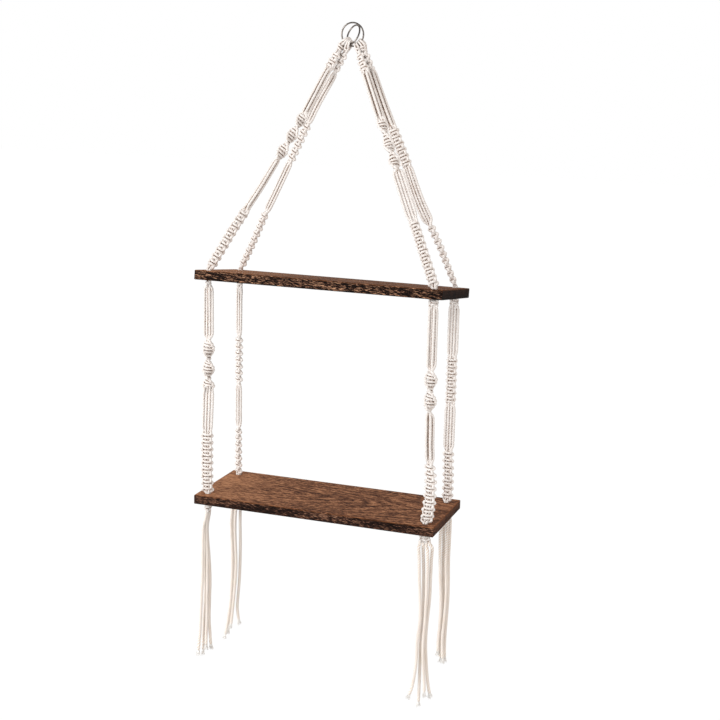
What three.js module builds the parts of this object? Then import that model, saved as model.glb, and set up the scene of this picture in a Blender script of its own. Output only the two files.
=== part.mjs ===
// A wall-hung rope shelf: two wooden boards on four legs of knotted cord that hang from a pair of steel rings.
// Millimetres, +Z up, +X to the viewer's right, +Y towards the wall.
// The origin is where the shelf's weight hangs: inside the top of the large ring.
import * as THREE from "three";

// Boards
const boardLength = 400;
const boardDepth = 150;
const boardThickness = 15;
const boardEdgeRadius = 0.8;
const holeInset = 18; // from the board's long edges
const holeDiameter = 10;
const tierSpacing = 354; // from the lower top face to the middle of the upper one
const upperBoardLean = THREE.MathUtils.degToRad(7.5); // the front edge of the upper board stands higher

// Rings
const ringWire = 2.5;
const largeRingOuter = 38;
const smallRingOuter = 33;
const smallRingSetBack = 3.3;
const smallRingHeel = THREE.MathUtils.degToRad(33); // its long axis leans to the right at the top
const smallRingTurn = THREE.MathUtils.degToRad(42); // and it is turned about that axis
const ringAboveUpperBoard = 371;
const ringOffWall = 9; // from the ring's plane to the wall that the back edges lean on

// Cords and knots
const cordDiameter = 4;
const tasselCordDiameter = 4.8; // it opens out where it hangs loose
const sinnetWidth = 18; // a sinnet is a row of square knots
const sinnetThickness = 9;
const ringSinnetWidth = 14;
const ringSinnetThickness = 7.6;
const knotPitch = 10.7;
const ringSinnetLength = 46; // from the ring's wire
const berry = { length: 24, width: 15.4 };
const tierBerry = { length: 26, width: 15.4 };
const smallKnot = { length: 13, width: 11.4 };
const berryNeckWidth = 6.8;
const strandsWidth = 17; // four cords side by side
const strandsNeckWidth = 9;
const coreDiameter = 8.4; // the four cords where they pass a hole
const underKnotDiameter = 11.5;
const underKnotDrop = 2.4; // from the board's underside to the knot's middle
const mouthRise = 2.3; // the cords stay as narrow as the hole for this far above a board
const lastKnot = { width: 18, thickness: 9, drop: 7 }; // its middle hangs this far below the lower board
const lastKnotTop = { width: 16, thickness: 8.4, drop: 2 };
const lowerSinnetHeight = 95; // of the front legs, above the lower board
const loopJunctionDrop = 25; // from the ring's centre to the foot of the loops
const loopWidth = 7.6; // two cords side by side on the wire
const loopPressShare = 0.85; // how thick a cord stays where it is pulled round the wire
const oneWire = { radius: 1.9, front: 0, back: 0.4, rise: 0 }; // the channel round the large ring's wire
const bothWires = { radius: 3.8, front: -1, back: 2.8, rise: 1.8 }; // the channels round both rings' wires
const bothWiresApart = { radius: 3.8, front: 1, back: 9.2, rise: 1.9 };
const seatGap = 0.3; // between pieces that touch
const swingGap = 0.9; // where the legs turn below the loops

// Where the strands start: across the last knot, and so far below its middle that they clear a ball of its width.
const strandStarts = [[-7.5, 7.9], [-2.5, 9.4], [2.5, 9.4], [7.5, 7.9]];
const strandPlumb = 3; // they start straight down
const coreShares = [0.06, 0.24, 0.42, 0.6, 0.8, 1]; // of the way up through the hole, while the cords turn

const loopSteps = 3;
const loopSegments = 3;
const cordSides = 8;
const cordStep = 3 * cordDiameter;

// Each corner: where its loop sits on the ring, how its knots are turned, and the knots in its stretches of leg.
// Shares of the ring leg are counted down from the wire, and those of the tier leg up from the lower board.
// A bow lists how far the ring leg hangs to the right of its straight line, at shares of its length.
// A tassel's strands start side by side at the last knot's foot, and their routes are counted from its middle.
const corners = [
  {
    name: "front_left",
    side: -1,
    row: -1,
    loopAngle: 220,
    channel: bothWiresApart,
    endInset: 16,
    bow: [[0.08, 0], [0.36, 5.2], [0.6, 4.8], [0.86, 0]],
    ringTurn: -40,
    legTurn: 0,
    boardTurn: 12,
    tierTurn: 6,
    tasselTurn: 95,
    ringKnots: [smallKnot, berry, berry],
    ringKnotShares: [0.335, 0.405, 0.477],
    boardSinnetShare: 0.741,
    tierKnots: [tierBerry, tierBerry, smallKnot],
    tierKnotShares: [0.693, 0.594, 0.517],
    strands: [
      [[-4.9, -6.5, -32.7], [-5.8, -6.5, -56.6], [-6.7, -6.5, -91], [-7.2, -6.5, -125.6],
        [-8.4, -6.5, -160.4], [-10.3, -6.5, -195.7], [-12.4, -6.5, -231.2], [-14.8, -6.5, -259]],
      [[-1.6, -2, -33.6], [-1.2, -2, -57.5], [-0.4, -2, -91.6], [-0.2, -2, -126.1], [-0.9, -2, -160.9],
        [-1.5, -2, -204.7], [-2.4, -2, -249]],
      [[-6.5, 3, -35.9], [-6.1, 3, -59.8], [-6.8, 3, -94.3], [-6.6, 3, -128.9], [-6.7, 3, -163.7],
        [-8.5, 3, -199.1], [-9.6, 3, -234.6], [-10.3, 3, -261.3]],
      [[-5, 8, -37.3], [-4, 8, -61.2], [-1.6, 8, -95.2], [-0.1, 8, -129.7], [-0.6, 8, -164.6],
        [-1.5, 8, -199.9], [0.8, 8, -234.8], [2.3, 8, -251.4]],
    ],
  },
  {
    name: "front_right",
    side: 1,
    row: -1,
    loopAngle: 294,
    channel: oneWire,
    endInset: 18,
    bow: [],
    ringTurn: -50,
    legTurn: 0,
    boardTurn: 0,
    tierTurn: 0,
    tasselTurn: 12,
    ringKnots: [smallKnot, berry, berry],
    ringKnotShares: [0.335, 0.426, 0.492],
    boardSinnetShare: 0.733,
    tierKnots: [tierBerry, tierBerry],
    tierKnotShares: [0.65, 0.554],
    strands: [
      [[-7.7, -5, -15.8], [-6.3, -5, -36.6], [-4.9, -5, -68.9], [-2.6, -5, -106.2], [-1.9, -5, -134.1],
        [-4.7, -5, -167.7], [-5.4, -5, -201.2], [-8.8, -5, -235.4], [-12.2, -5, -252.9],
        [-18.6, -5, -269.4]],
      [[-2.4, 1.5, -23.7], [-1, 1.5, -46.2], [-0.1, 1.5, -78.7], [1.1, 1.5, -108.1], [1.1, 1.5, -136.1],
        [-1.7, 1.5, -169.8], [-1.4, 1.5, -203.2], [-1, 1.5, -236.8], [-1.7, 1.5, -282.7]],
      [[6.1, -4, -20.6], [6.7, -4, -43.1], [7.1, -4, -70.7], [7, -4, -100.1], [6.1, -4, -133.1],
        [4.4, -4, -166.5], [5.4, -4, -199.7], [7.9, -4, -232.8], [9.2, -4, -262.9]],
      [[10.9, 2.5, -15.6], [10.9, 2.5, -36.6], [10.8, 2.5, -69.2], [9.9, 2.5, -105.4], [7.8, 2.5, -135.4],
        [6.7, 2.5, -168.8], [8.2, 2.5, -201.9], [11.7, 2.5, -234.9], [17.9, 2.5, -265.9]],
    ],
  },
  {
    name: "back_left",
    side: -1,
    row: 1,
    loopAngle: 249,
    channel: bothWires,
    endInset: 18,
    bow: [[0.08, 0], [0.28, -4.8], [0.7, -3], [0.95, 0]],
    ringTurn: -40,
    legTurn: -38,
    boardTurn: -38,
    tierTurn: -42,
    tasselTurn: 15,
    ringSinnetShares: [0.335, 0.506],
    boardSinnetShare: 0.737,
    tierSinnetShares: [0.72, 0.478],
    strands: [
      [[-8.8, -3.4, -20], [-10.1, -3.6, -38.4], [-11.6, -3.6, -63.5], [-10.7, -3.6, -95.6],
        [-9.4, -3.6, -131.4], [-9.8, -3.6, -167.6], [-12.6, -3.6, -204.5], [-17.3, -3.6, -242],
        [-23.8, -3.6, -278.3]],
      [[-11, 4, -40.8], [-11.8, 4, -65.9], [-11, 4, -98.1], [-10.1, 4, -134.1], [-10.6, 4, -170.5],
        [-13.3, 4, -207.5], [-17.1, 4, -245], [-21.7, 4, -271.7]],
      [[-3.3, -3, -37.7], [-4.9, -3, -62.8], [-4.1, -3, -94.8], [-2.8, -3, -130.6], [-3.9, -3, -166.9],
        [-6.7, -3, -203.8], [-10.4, -3, -237.4], [-13, -3, -258.2]],
      [[6.4, 3.2, -19], [2.2, 3.6, -38.9], [1.8, 3.6, -63.9], [2, 3.6, -96.1], [1.9, 3.6, -132.2],
        [1, 3.6, -168.6], [-2.3, 3.6, -205.6], [-3, 3.6, -220.4], [1.2, 3.6, -251]],
    ],
  },
  {
    name: "back_right",
    side: 1,
    row: 1,
    loopAngle: 322,
    channel: oneWire,
    endInset: 18,
    bow: [[0.08, 0], [0.3, -3], [0.47, -3], [0.64, -5.6], [0.86, 0]],
    ringTurn: -50,
    legTurn: 0,
    boardTurn: -50,
    tierTurn: 4,
    tasselTurn: 15,
    ringSinnetShares: [0.35, 0.51],
    boardSinnetShare: 0.748,
    tierSinnetShares: [0.72, 0.492],
    strands: [
      [[-7.2, -3.4, -29], [-6.9, -3.4, -51], [-6, -3.4, -76.4], [-4.6, -3.4, -110.4],
        [-1.9, -3.4, -144.5], [-2.1, -3.4, -179.2], [-4.2, -3.4, -214.4], [-4.8, -3.4, -243.5]],
      [[-3.3, 3, -30.5], [-2.8, 3, -52.5], [-2.7, 3, -78.1], [-0.8, 3, -112.1], [0.5, 3, -146.5],
        [-0.2, 3, -181.3], [-2.1, 3, -216.6], [-0.7, 3, -256.9]],
      [[3.8, -3.4, -27.4], [4, -3.4, -49.4], [4.1, -3.4, -74.9], [6, -3.4, -108.8], [6.1, -3.4, -143.2],
        [4.8, -3.4, -178], [3.1, -3.4, -213.2], [4.9, -3.4, -255]],
      [[6.8, 3.2, -29.2], [6.8, 3.2, -51.2], [6.5, 3.2, -76.8], [7.3, 3.2, -110.9], [8, 3.2, -145.3],
        [6.8, 3.2, -180.2], [5.2, 3.2, -215.5], [6.7, 3.2, -254.8]],
    ],
  },
];

// Materials
const woodMaterial = new THREE.MeshStandardMaterial({ color: 0x5a3a26, roughness: 0.62, metalness: 0 });
const steelMaterial = new THREE.MeshStandardMaterial({ color: 0xb9b9bb, roughness: 0.2, metalness: 1 });
const cordMaterial = new THREE.MeshStandardMaterial({ color: 0xeee6d8, roughness: 0.9, metalness: 0 });

const shelf = new THREE.Group();

function addPiece(group, name, geometry, material) {
  const mesh = new THREE.Mesh(geometry, material);
  mesh.name = name;
  group.add(mesh);
  return mesh;
}

// Unit outlines that each section stretches: a round one, and four cords side by side with valleys between.
const roundSides = 10;
const valleyShare = 0.5;
const roundOutline = Array.from({ length: roundSides }, (_, i) => {
  const angle = (2 * Math.PI * i) / roundSides;
  return new THREE.Vector2(Math.cos(angle), Math.sin(angle));
});
const ribbonShares = [-0.75, -0.5, -0.25, 0, 0.25, 0.5, 0.75];
const ribbonOutline = [
  new THREE.Vector2(-1, 0),
  ...ribbonShares.map((x, i) => new THREE.Vector2(x, i % 2 ? -valleyShare : -1)),
  new THREE.Vector2(1, 0),
  ...ribbonShares.map((x, i) => new THREE.Vector2(-x, i % 2 ? valleyShare : 1)),
];

// A closed bar whose section is the outline, stretched and placed anew at each station, from the lower end up.
function bar(outline, stations) {
  const steps = stations.length - 1;
  const shape = new THREE.Shape(outline);
  const geometry = new THREE.ExtrudeGeometry(shape, { depth: steps, steps, bevelEnabled: false });
  const places = geometry.attributes.position;
  const point = new THREE.Vector3();
  for (let i = 0; i < places.count; i += 1) {
    const { centre, across, through } = stations[Math.round(places.getZ(i))];
    point.copy(centre).addScaledVector(across, places.getX(i)).addScaledVector(through, places.getY(i));
    places.setXYZ(i, point.x, point.y, point.z);
  }
  geometry.computeVertexNormals();
  return geometry;
}

// A section square to the local Z axis, and turned about it.
function level(height, halfWidth, halfThickness = halfWidth, turn = 0) {
  return {
    centre: new THREE.Vector3(0, 0, height),
    across: new THREE.Vector3(Math.cos(turn), Math.sin(turn), 0).multiplyScalar(halfWidth),
    through: new THREE.Vector3(-Math.sin(turn), Math.cos(turn), 0).multiplyScalar(halfThickness),
  };
}

// A round section at a distance up a line that runs through the local origin.
function roundOn(line, distance, radius) {
  const across = new THREE.Vector3(1, 0, 0);
  across.addScaledVector(line, -across.dot(line)).normalize();
  const through = new THREE.Vector3().crossVectors(line, across);
  return {
    centre: line.clone().multiplyScalar(distance),
    across: across.multiplyScalar(radius),
    through: through.multiplyScalar(radius),
  };
}

const domeAngles = [25, 50, 72].map(THREE.MathUtils.degToRad);
const domeRise = Math.sin(domeAngles.at(-1)); // a dome's height as a share of its radius

// Square knots in a row: a waist where two knots meet and the full width in the middle of each.
const waistShare = 0.84;
function sinnet(from, to, width, thickness) {
  const knots = Math.max(1, Math.round((to - from) / knotPitch));
  const pitch = (to - from) / knots;
  const sections = [level(from, waistShare * width / 2, waistShare * thickness / 2)];
  for (let i = 0; i < knots; i += 1) {
    sections.push(level(from + (i + 0.5) * pitch, width / 2, thickness / 2));
    sections.push(level(from + (i + 1) * pitch, waistShare * width / 2, waistShare * thickness / 2));
  }
  return sections;
}

// The round end of a sinnet, whose middle is a pivot, so that what turns about it stays clear.
function domedEnd(pivot, width, thickness) {
  return domeAngles.map((angle) => {
    const share = Math.cos(angle);
    return level(pivot + (Math.sin(angle) * width) / 2, (share * width) / 2, (share * thickness) / 2);
  });
}

// Berry knots and small knots in a row, from the lowest up, at the heights of their middles.
const berryShares = [[-0.5, 0.45], [-0.36, 0.82], [-0.12, 1], [0.14, 0.98], [0.36, 0.76], [0.5, 0.42]];
function knotRow(knots, heights) {
  return knots.flatMap(({ length, width }, i) =>
    berryShares.map(([place, share]) => {
      const radius = Math.max((share * width) / 2, berryNeckWidth / 2);
      return level(heights[i] + place * length, radius);
    })
  );
}

// Four free cords side by side, drawn together at both ends.
const gatherShare = 0.7;
function strands(from, to, lowWidth, highWidth) {
  const gather = Math.min(strandsWidth, (to - from) / 4);
  const half = cordDiameter / 2;
  return [
    level(from, lowWidth / 2, half),
    level(from + gather * gatherShare, (strandsWidth - cordDiameter / 2) / 2, half),
    level((from + to) / 2, strandsWidth / 2, half),
    level(to - gather * gatherShare, (strandsWidth - cordDiameter / 2) / 2, half),
    level(to, highWidth / 2, half),
  ];
}

// A bow's reach at a share of the leg, eased from each listed place to the next.
function bowAt(bow, share) {
  const next = bow.findIndex(([place]) => place > share);
  if (next < 1) {
    return 0;
  }
  const [[fromPlace, fromReach], [toPlace, toReach]] = [bow[next - 1], bow[next]];
  return fromReach + (toReach - fromReach) * THREE.MathUtils.smoothstep(share, fromPlace, toPlace);
}

// Moves the sections of a ring leg, whose origin is its lower end, out to its bow.
function bowed(sections, { bow }, length, group) {
  const right = new THREE.Vector3(1, 0, 0).applyQuaternion(group.quaternion.clone().invert());
  sections.forEach(({ centre }) => centre.addScaledVector(right, bowAt(bow, 1 - centre.z / length)));
  return sections;
}

// Places a group with its +Z along a line and its +X turned about that line from the viewer's right.
function stand(group, origin, towards, turn) {
  const up = towards.clone().sub(origin).normalize();
  const angle = THREE.MathUtils.degToRad(turn);
  const across = new THREE.Vector3(Math.cos(angle), Math.sin(angle), 0);
  across.addScaledVector(up, -across.dot(up)).normalize();
  const through = new THREE.Vector3().crossVectors(up, across);
  group.quaternion.setFromRotationMatrix(new THREE.Matrix4().makeBasis(across, through, up));
  group.position.copy(origin);
  group.updateMatrixWorld(true);
  shelf.add(group);
  return group;
}

// Rings
const largeRadius = (largeRingOuter - ringWire) / 2;
const smallRadius = (smallRingOuter - ringWire) / 2;
const ringCentre = new THREE.Vector3(0, 0, ringWire - largeRingOuter / 2);
const wireSides = 8;
const ringSegments = 28;

function addRings() {
  const large = new THREE.TorusGeometry(largeRadius, ringWire / 2, wireSides, ringSegments);
  large.rotateX(Math.PI / 2);
  addPiece(shelf, "large_hanging_ring", large, steelMaterial).position.copy(ringCentre);

  const small = new THREE.TorusGeometry(smallRadius, ringWire / 2, wireSides, ringSegments);
  small.rotateX(Math.PI / 2);
  const ring = addPiece(shelf, "small_hanging_ring", small, steelMaterial);
  ring.rotation.set(0, smallRingHeel, -smallRingTurn, "YZX");
  ring.position.copy(ringCentre).add(new THREE.Vector3(0, smallRingSetBack, 0));
}

// Boards
const boardSetback = boardDepth / 2 - ringOffWall;
const upperMiddle = new THREE.Vector3(0, -boardSetback, ringCentre.z - ringAboveUpperBoard);
const upperBoard = new THREE.Group();
upperBoard.position.copy(upperMiddle);
upperBoard.rotation.x = -upperBoardLean;
upperBoard.updateMatrixWorld(true);
shelf.add(upperBoard);

// The lower board hangs plumb below the knots under the upper one.
const knotDepth = boardThickness + underKnotDrop;
const plumb = new THREE.Vector3(0, 0, -knotDepth).applyMatrix4(upperBoard.matrixWorld);
const lowerBoard = new THREE.Group();
lowerBoard.position.set(0, plumb.y, upperMiddle.z - tierSpacing);
lowerBoard.updateMatrixWorld(true);
shelf.add(lowerBoard);

function addBoard(group, name) {
  const halfLength = boardLength / 2 - boardEdgeRadius;
  const halfDepth = boardDepth / 2 - boardEdgeRadius;
  const outline = new THREE.Shape([
    new THREE.Vector2(-halfLength, -halfDepth),
    new THREE.Vector2(halfLength, -halfDepth),
    new THREE.Vector2(halfLength, halfDepth),
    new THREE.Vector2(-halfLength, halfDepth),
  ]);
  const centreY = boardDepth / 2 - holeInset;
  const holeRadius = holeDiameter / 2 + boardEdgeRadius;
  for (const { side, row, endInset } of corners) {
    const hole = new THREE.Path();
    hole.absarc(side * (boardLength / 2 - endInset), row * centreY, holeRadius, 0, 2 * Math.PI, true);
    outline.holes.push(hole);
  }
  const board = new THREE.ExtrudeGeometry(outline, {
    depth: boardThickness - 2 * boardEdgeRadius,
    bevelThickness: boardEdgeRadius,
    bevelSize: boardEdgeRadius,
    bevelSegments: 1,
    curveSegments: 10,
  });
  board.translate(0, 0, boardEdgeRadius - boardThickness);
  addPiece(group, name, board, woodMaterial);
}

function holePlace({ side, row, endInset }, group, height) {
  const x = side * (boardLength / 2 - endInset);
  const y = row * (boardDepth / 2 - holeInset);
  return new THREE.Vector3(x, y, height).applyMatrix4(group.matrixWorld);
}

// The loop of two doubled cords over the ring's wire, with a channel that the wire runs through. Its outline has
// the wall's normal and the way to the ring's middle as its axes, and is drawn out along the wire. Its foot is
// square to the leg.
function addLoop(corner, wirePoint, leg, reach) {
  const angle = THREE.MathUtils.degToRad(corner.loopAngle);
  const { radius, front, back, rise } = corner.channel;
  const outer = radius + loopPressShare * cordDiameter;
  const outline = new THREE.Shape();
  outline.moveTo(-cordDiameter, -reach);
  outline.lineTo(cordDiameter, -reach);
  outline.absellipse(back, rise, outer, outer, 0, Math.PI / 2, false);
  outline.absellipse(front, rise, outer, outer, Math.PI / 2, Math.PI, false);
  const channel = new THREE.Path();
  channel.absellipse(back, rise, radius, radius, -Math.PI / 2, Math.PI / 2, false);
  channel.absellipse(front, rise, radius, radius, Math.PI / 2, (3 * Math.PI) / 2, false);
  outline.holes.push(channel);
  const geometry = new THREE.ExtrudeGeometry(outline, {
    depth: loopWidth,
    steps: loopSteps,
    bevelEnabled: false,
    curveSegments: loopSegments,
  });

  const through = new THREE.Vector3(0, 1, 0).addScaledVector(leg, -leg.y).normalize();
  const across = new THREE.Vector3().crossVectors(leg, through);
  const places = geometry.attributes.position;
  const point = new THREE.Vector3();
  for (let i = 0; i < places.count; i += 1) {
    const [depth, height, run] = [places.getX(i), places.getY(i), places.getZ(i) - loopWidth / 2];
    if (height < -radius) {
      point.copy(wirePoint).addScaledVector(leg, reach);
      point.addScaledVector(across, run).addScaledVector(through, depth);
    } else {
      const turned = angle + run / largeRadius;
      const fromMiddle = largeRadius - height;
      point.set(fromMiddle * Math.cos(turned), depth, fromMiddle * Math.sin(turned)).add(ringCentre);
    }
    places.setXYZ(i, point.x, point.y, point.z);
  }
  geometry.computeVertexNormals();
  addPiece(shelf, `${corner.name}_ring_loop`, geometry, cordMaterial);
}

// From the ring to the upper board, and through it to the knot below.
function addRingLeg(corner) {
  const angle = THREE.MathUtils.degToRad(corner.loopAngle);
  const outwards = new THREE.Vector3(Math.cos(angle), 0, Math.sin(angle));
  const wirePoint = ringCentre.clone().addScaledVector(outwards, largeRadius);
  const mouth = holePlace(corner, upperBoard, mouthRise);
  const down = mouth.clone().sub(wirePoint).normalize();
  const length = mouth.distanceTo(wirePoint);
  const loopReach = (ringCentre.z - loopJunctionDrop - wirePoint.z) / down.z;
  addLoop(corner, wirePoint, down, loopReach);

  const { name, legTurn } = corner;
  const from = (distance) => length - distance;
  const at = (share) => (1 - share) * length;
  const nearRing = stand(new THREE.Group(), mouth, wirePoint, corner.ringTurn);
  const sinnetTop = from(loopReach + swingGap);
  const domePivot = sinnetTop - ringSinnetThickness / 2;
  const ringSinnet = sinnet(from(ringSinnetLength), domePivot, ringSinnetWidth, ringSinnetThickness);
  ringSinnet.push(level(sinnetTop, ringSinnetThickness / 2, ringSinnetThickness / 4));
  const nearPiece = bar(roundOutline, bowed(ringSinnet, corner, length, nearRing));
  addPiece(nearRing, `${name}_ring_sinnet`, nearPiece, cordMaterial);

  const leg = stand(new THREE.Group(), mouth, wirePoint, legTurn);
  const bent = (outline, sections) => bar(outline, bowed(sections, corner, length, leg));
  const isBerries = "ringKnots" in corner;
  const middle = isBerries
    ? knotRow(corner.ringKnots.toReversed(), corner.ringKnotShares.map(at).reverse())
    : sinnet(...corner.ringSinnetShares.map(at).reverse(), sinnetWidth, sinnetThickness);
  const middleLow = middle[0].centre.z;
  const middleHigh = middle[middle.length - 1].centre.z;
  const middleName = isBerries ? "upper_berry_knots" : "upper_middle_sinnet";
  const middleEnd = isBerries ? strandsNeckWidth : strandsWidth - cordDiameter / 2;
  addPiece(leg, `${name}_${middleName}`, bent(roundOutline, middle), cordMaterial);

  const strandsTop = from(ringSinnetLength + seatGap);
  const topStrands = strands(middleHigh + seatGap, strandsTop, middleEnd, strandsNeckWidth);
  addPiece(leg, `${name}_upper_strands`, bent(ribbonOutline, topStrands), cordMaterial);
  const boardSinnetTop = at(corner.boardSinnetShare);
  const lowEnd = strandsWidth - cordDiameter / 2;
  const lowStrands = strands(boardSinnetTop + seatGap, middleLow - seatGap, lowEnd, middleEnd);
  addPiece(leg, `${name}_lower_strands`, bent(ribbonOutline, lowStrands), cordMaterial);

  // The hole's line as the sinnet's own axes see it, pointing up.
  const nearBoard = stand(new THREE.Group(), mouth, wirePoint, corner.boardTurn);
  const hole = new THREE.Vector3(0, 0, 1).transformDirection(upperBoard.matrixWorld);
  hole.applyQuaternion(nearBoard.quaternion.clone().invert());
  const radius = coreDiameter / 2;
  const knotMiddle = -mouthRise - knotDepth;
  const ball = underKnotDiameter / 2;
  const throughHole = [
    ...domeAngles.toReversed().map((a) => roundOn(hole, knotMiddle - ball * Math.sin(a), ball * Math.cos(a))),
    roundOn(hole, knotMiddle, ball),
    roundOn(hole, knotMiddle + ball * Math.sin(domeAngles[0]), ball * Math.cos(domeAngles[0])),
    roundOn(hole, knotMiddle + ball * Math.sin(domeAngles[1]), ball * Math.cos(domeAngles[1])),
    roundOn(hole, 0, radius),
  ];
  const foot = radius + cordDiameter / 4;
  const boardSinnet = sinnet(foot, boardSinnetTop, sinnetWidth, sinnetThickness);
  const whole = bar(roundOutline, bowed([...throughHole, ...boardSinnet], corner, length, nearBoard));
  addPiece(nearBoard, `${name}_upper_board_sinnet`, whole, cordMaterial);
  return holePlace(corner, upperBoard, -knotDepth);
}

// From the upper board to the lower one. The legs of both rows turn about pivots that are equally far apart.
function addTierLeg(corner, upperPivot) {
  const { name, tierTurn } = corner;
  const frontPivot = holePlace({ ...corner, row: -1 }, upperBoard, -knotDepth);
  const sinnetHeight = lowerSinnetHeight - (frontPivot.z - upperPivot.z);
  const hole = holePlace(corner, lowerBoard, 0);
  const pivotHeight = sinnetHeight - sinnetWidth / 2;
  const lowerPivot = hole.clone().setZ(hole.z + pivotHeight);
  const leg = stand(new THREE.Group(), lowerPivot, upperPivot, tierTurn);
  const at = (share) => share * (upperPivot.z - hole.z) - pivotHeight;

  const isBerries = "tierKnots" in corner;
  const middle = isBerries
    ? knotRow(corner.tierKnots.toReversed(), corner.tierKnotShares.map(at).reverse())
    : sinnet(...corner.tierSinnetShares.map(at).reverse(), sinnetWidth, sinnetThickness);
  const middleLow = middle[0].centre.z;
  const middleHigh = middle[middle.length - 1].centre.z;
  const middleName = isBerries ? "tier_berry_knots" : "tier_middle_sinnet";
  const middleEnd = isBerries ? strandsNeckWidth : strandsWidth - cordDiameter / 2;
  addPiece(leg, `${name}_${middleName}`, bar(roundOutline, middle), cordMaterial);

  const strandsTop = upperPivot.distanceTo(lowerPivot) - underKnotDiameter / 2 - seatGap;
  const topStrands = strands(middleHigh + seatGap, strandsTop, middleEnd, strandsNeckWidth);
  addPiece(leg, `${name}_tier_top_strands`, bar(ribbonOutline, topStrands), cordMaterial);
  const strandsFoot = (domeRise * sinnetWidth) / 2 + seatGap;
  const lowStrands = strands(strandsFoot, middleLow - seatGap, strandsWidth - cordDiameter, middleEnd);
  addPiece(leg, `${name}_tier_low_strands`, bar(ribbonOutline, lowStrands), cordMaterial);

  const foot = stand(new THREE.Group(), hole, hole.clone().setZ(hole.z + sinnetHeight), tierTurn);
  const radius = coreDiameter / 2;
  const turn = THREE.MathUtils.degToRad(corner.tasselTurn - tierTurn);
  const { width, thickness, drop } = lastKnot;
  const coreLength = boardThickness + mouthRise;
  const throughHole = [
    ...domeAngles.toReversed().map((angle) => {
      const share = Math.cos(angle) / 2;
      const depth = boardThickness + drop + (Math.sin(angle) * width) / 2;
      return level(-depth, share * width, share * thickness, turn);
    }),
    level(-boardThickness - drop, width / 2, thickness / 2, turn),
    level(-boardThickness - lastKnotTop.drop, lastKnotTop.width / 2, lastKnotTop.thickness / 2, turn),
    level(-boardThickness - seatGap, radius + seatGap, radius + seatGap, turn),
    ...coreShares.map((up) => level(-boardThickness + up * coreLength, radius, radius, (1 - up) * turn)),
  ];
  const rise = mouthRise + radius + cordDiameter / 4;
  const boardSinnet = [
    ...sinnet(rise, pivotHeight, sinnetWidth, sinnetThickness).slice(0, -1),
    level(pivotHeight, sinnetWidth / 2, sinnetThickness / 2),
    ...domedEnd(pivotHeight, sinnetWidth, sinnetThickness),
  ];
  const whole = bar(roundOutline, [...throughHole, ...boardSinnet]);
  addPiece(foot, `${name}_lower_board_sinnet`, whole, cordMaterial);
}

// A strand's round section drawn along its route.
const cordOutline = Array.from({ length: cordSides }, (_, i) => {
  const angle = (2 * Math.PI * (i + 0.5)) / cordSides;
  return new THREE.Vector2(Math.cos(angle), Math.sin(angle)).multiplyScalar(tasselCordDiameter / 2);
});

function addTassel(corner) {
  const tassel = new THREE.Group();
  tassel.position.copy(holePlace(corner, lowerBoard, -boardThickness - lastKnot.drop));
  shelf.add(tassel);
  const turn = THREE.MathUtils.degToRad(corner.tasselTurn);
  corner.strands.forEach((route, i) => {
    const [across, drop] = strandStarts[i];
    const start = new THREE.Vector3(across * Math.cos(turn), across * Math.sin(turn), -drop);
    const plumbEnd = start.clone().setZ(-drop - strandPlumb);
    const places = [start, plumbEnd, ...route.map((place) => new THREE.Vector3(...place))];
    const path = new THREE.CatmullRomCurve3(places, false, "centripetal");
    const steps = Math.round(path.getLength() / cordStep);
    const strand = new THREE.ExtrudeGeometry(new THREE.Shape(cordOutline), { steps, extrudePath: path });
    addPiece(tassel, `${corner.name}_tassel_strand_${i + 1}`, strand, cordMaterial);
  });
}

addRings();
addBoard(upperBoard, "upper_board");
addBoard(lowerBoard, "lower_board");
for (const corner of corners) {
  const upperPivot = addRingLeg(corner);
  addTierLeg(corner, upperPivot);
  addTassel(corner);
}

export default shelf;
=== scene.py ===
import math

import bpy
import numpy as np
from mathutils import Matrix


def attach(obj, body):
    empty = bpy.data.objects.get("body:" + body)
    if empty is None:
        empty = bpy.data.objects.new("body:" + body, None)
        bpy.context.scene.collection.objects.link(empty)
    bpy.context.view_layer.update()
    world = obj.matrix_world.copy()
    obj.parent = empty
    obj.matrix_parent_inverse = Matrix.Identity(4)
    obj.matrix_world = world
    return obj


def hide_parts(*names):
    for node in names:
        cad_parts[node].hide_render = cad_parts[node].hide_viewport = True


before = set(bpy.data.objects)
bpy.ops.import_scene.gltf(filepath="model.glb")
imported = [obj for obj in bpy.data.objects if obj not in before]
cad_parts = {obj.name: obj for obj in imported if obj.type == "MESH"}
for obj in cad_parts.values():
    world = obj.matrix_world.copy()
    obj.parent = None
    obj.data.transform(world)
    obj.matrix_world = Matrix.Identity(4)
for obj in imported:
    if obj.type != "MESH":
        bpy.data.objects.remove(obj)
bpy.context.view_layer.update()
print("frame loaded:", len(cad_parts), "nodes")

scene = bpy.context.scene
scene.view_settings.view_transform = "Standard"
mm = 0.001
random = np.random.default_rng(7)

# camera: the photograph's own, solved from the corners of the boards

cameraSettings = {
    "place": (0.76454, -2.09223, -0.03634),
    "forward": (-0.32528, 0.92064, -0.21589),
    "yaw": 19.4593,
    "roll": 1.4373,
    "lens": 70.575,
    "sensorWidth": 36,
    "clip": (0.05, 40),
}


def makeCamera(settings):
    forward = np.array(settings["forward"])
    yaw, roll = math.radians(settings["yaw"]), math.radians(settings["roll"])
    level = np.array((math.cos(yaw), math.sin(yaw), 0.0))
    above = np.cross(level, forward)
    right = level * math.cos(roll) + above * math.sin(roll)
    up = above * math.cos(roll) - level * math.sin(roll)
    lens = bpy.data.cameras.new("photoCamera")
    lens.lens = settings["lens"]
    lens.sensor_width = settings["sensorWidth"]
    lens.clip_start, lens.clip_end = settings["clip"]
    camera = bpy.data.objects.new("photoCamera", lens)
    turn = Matrix((right, up, -forward)).transposed()
    camera.matrix_world = Matrix.Translation(settings["place"]) @ turn.to_4x4()
    scene.collection.objects.link(camera)
    scene.camera = camera


makeCamera(cameraSettings)
print("camera set")

# meshes from whole arrays


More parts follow.
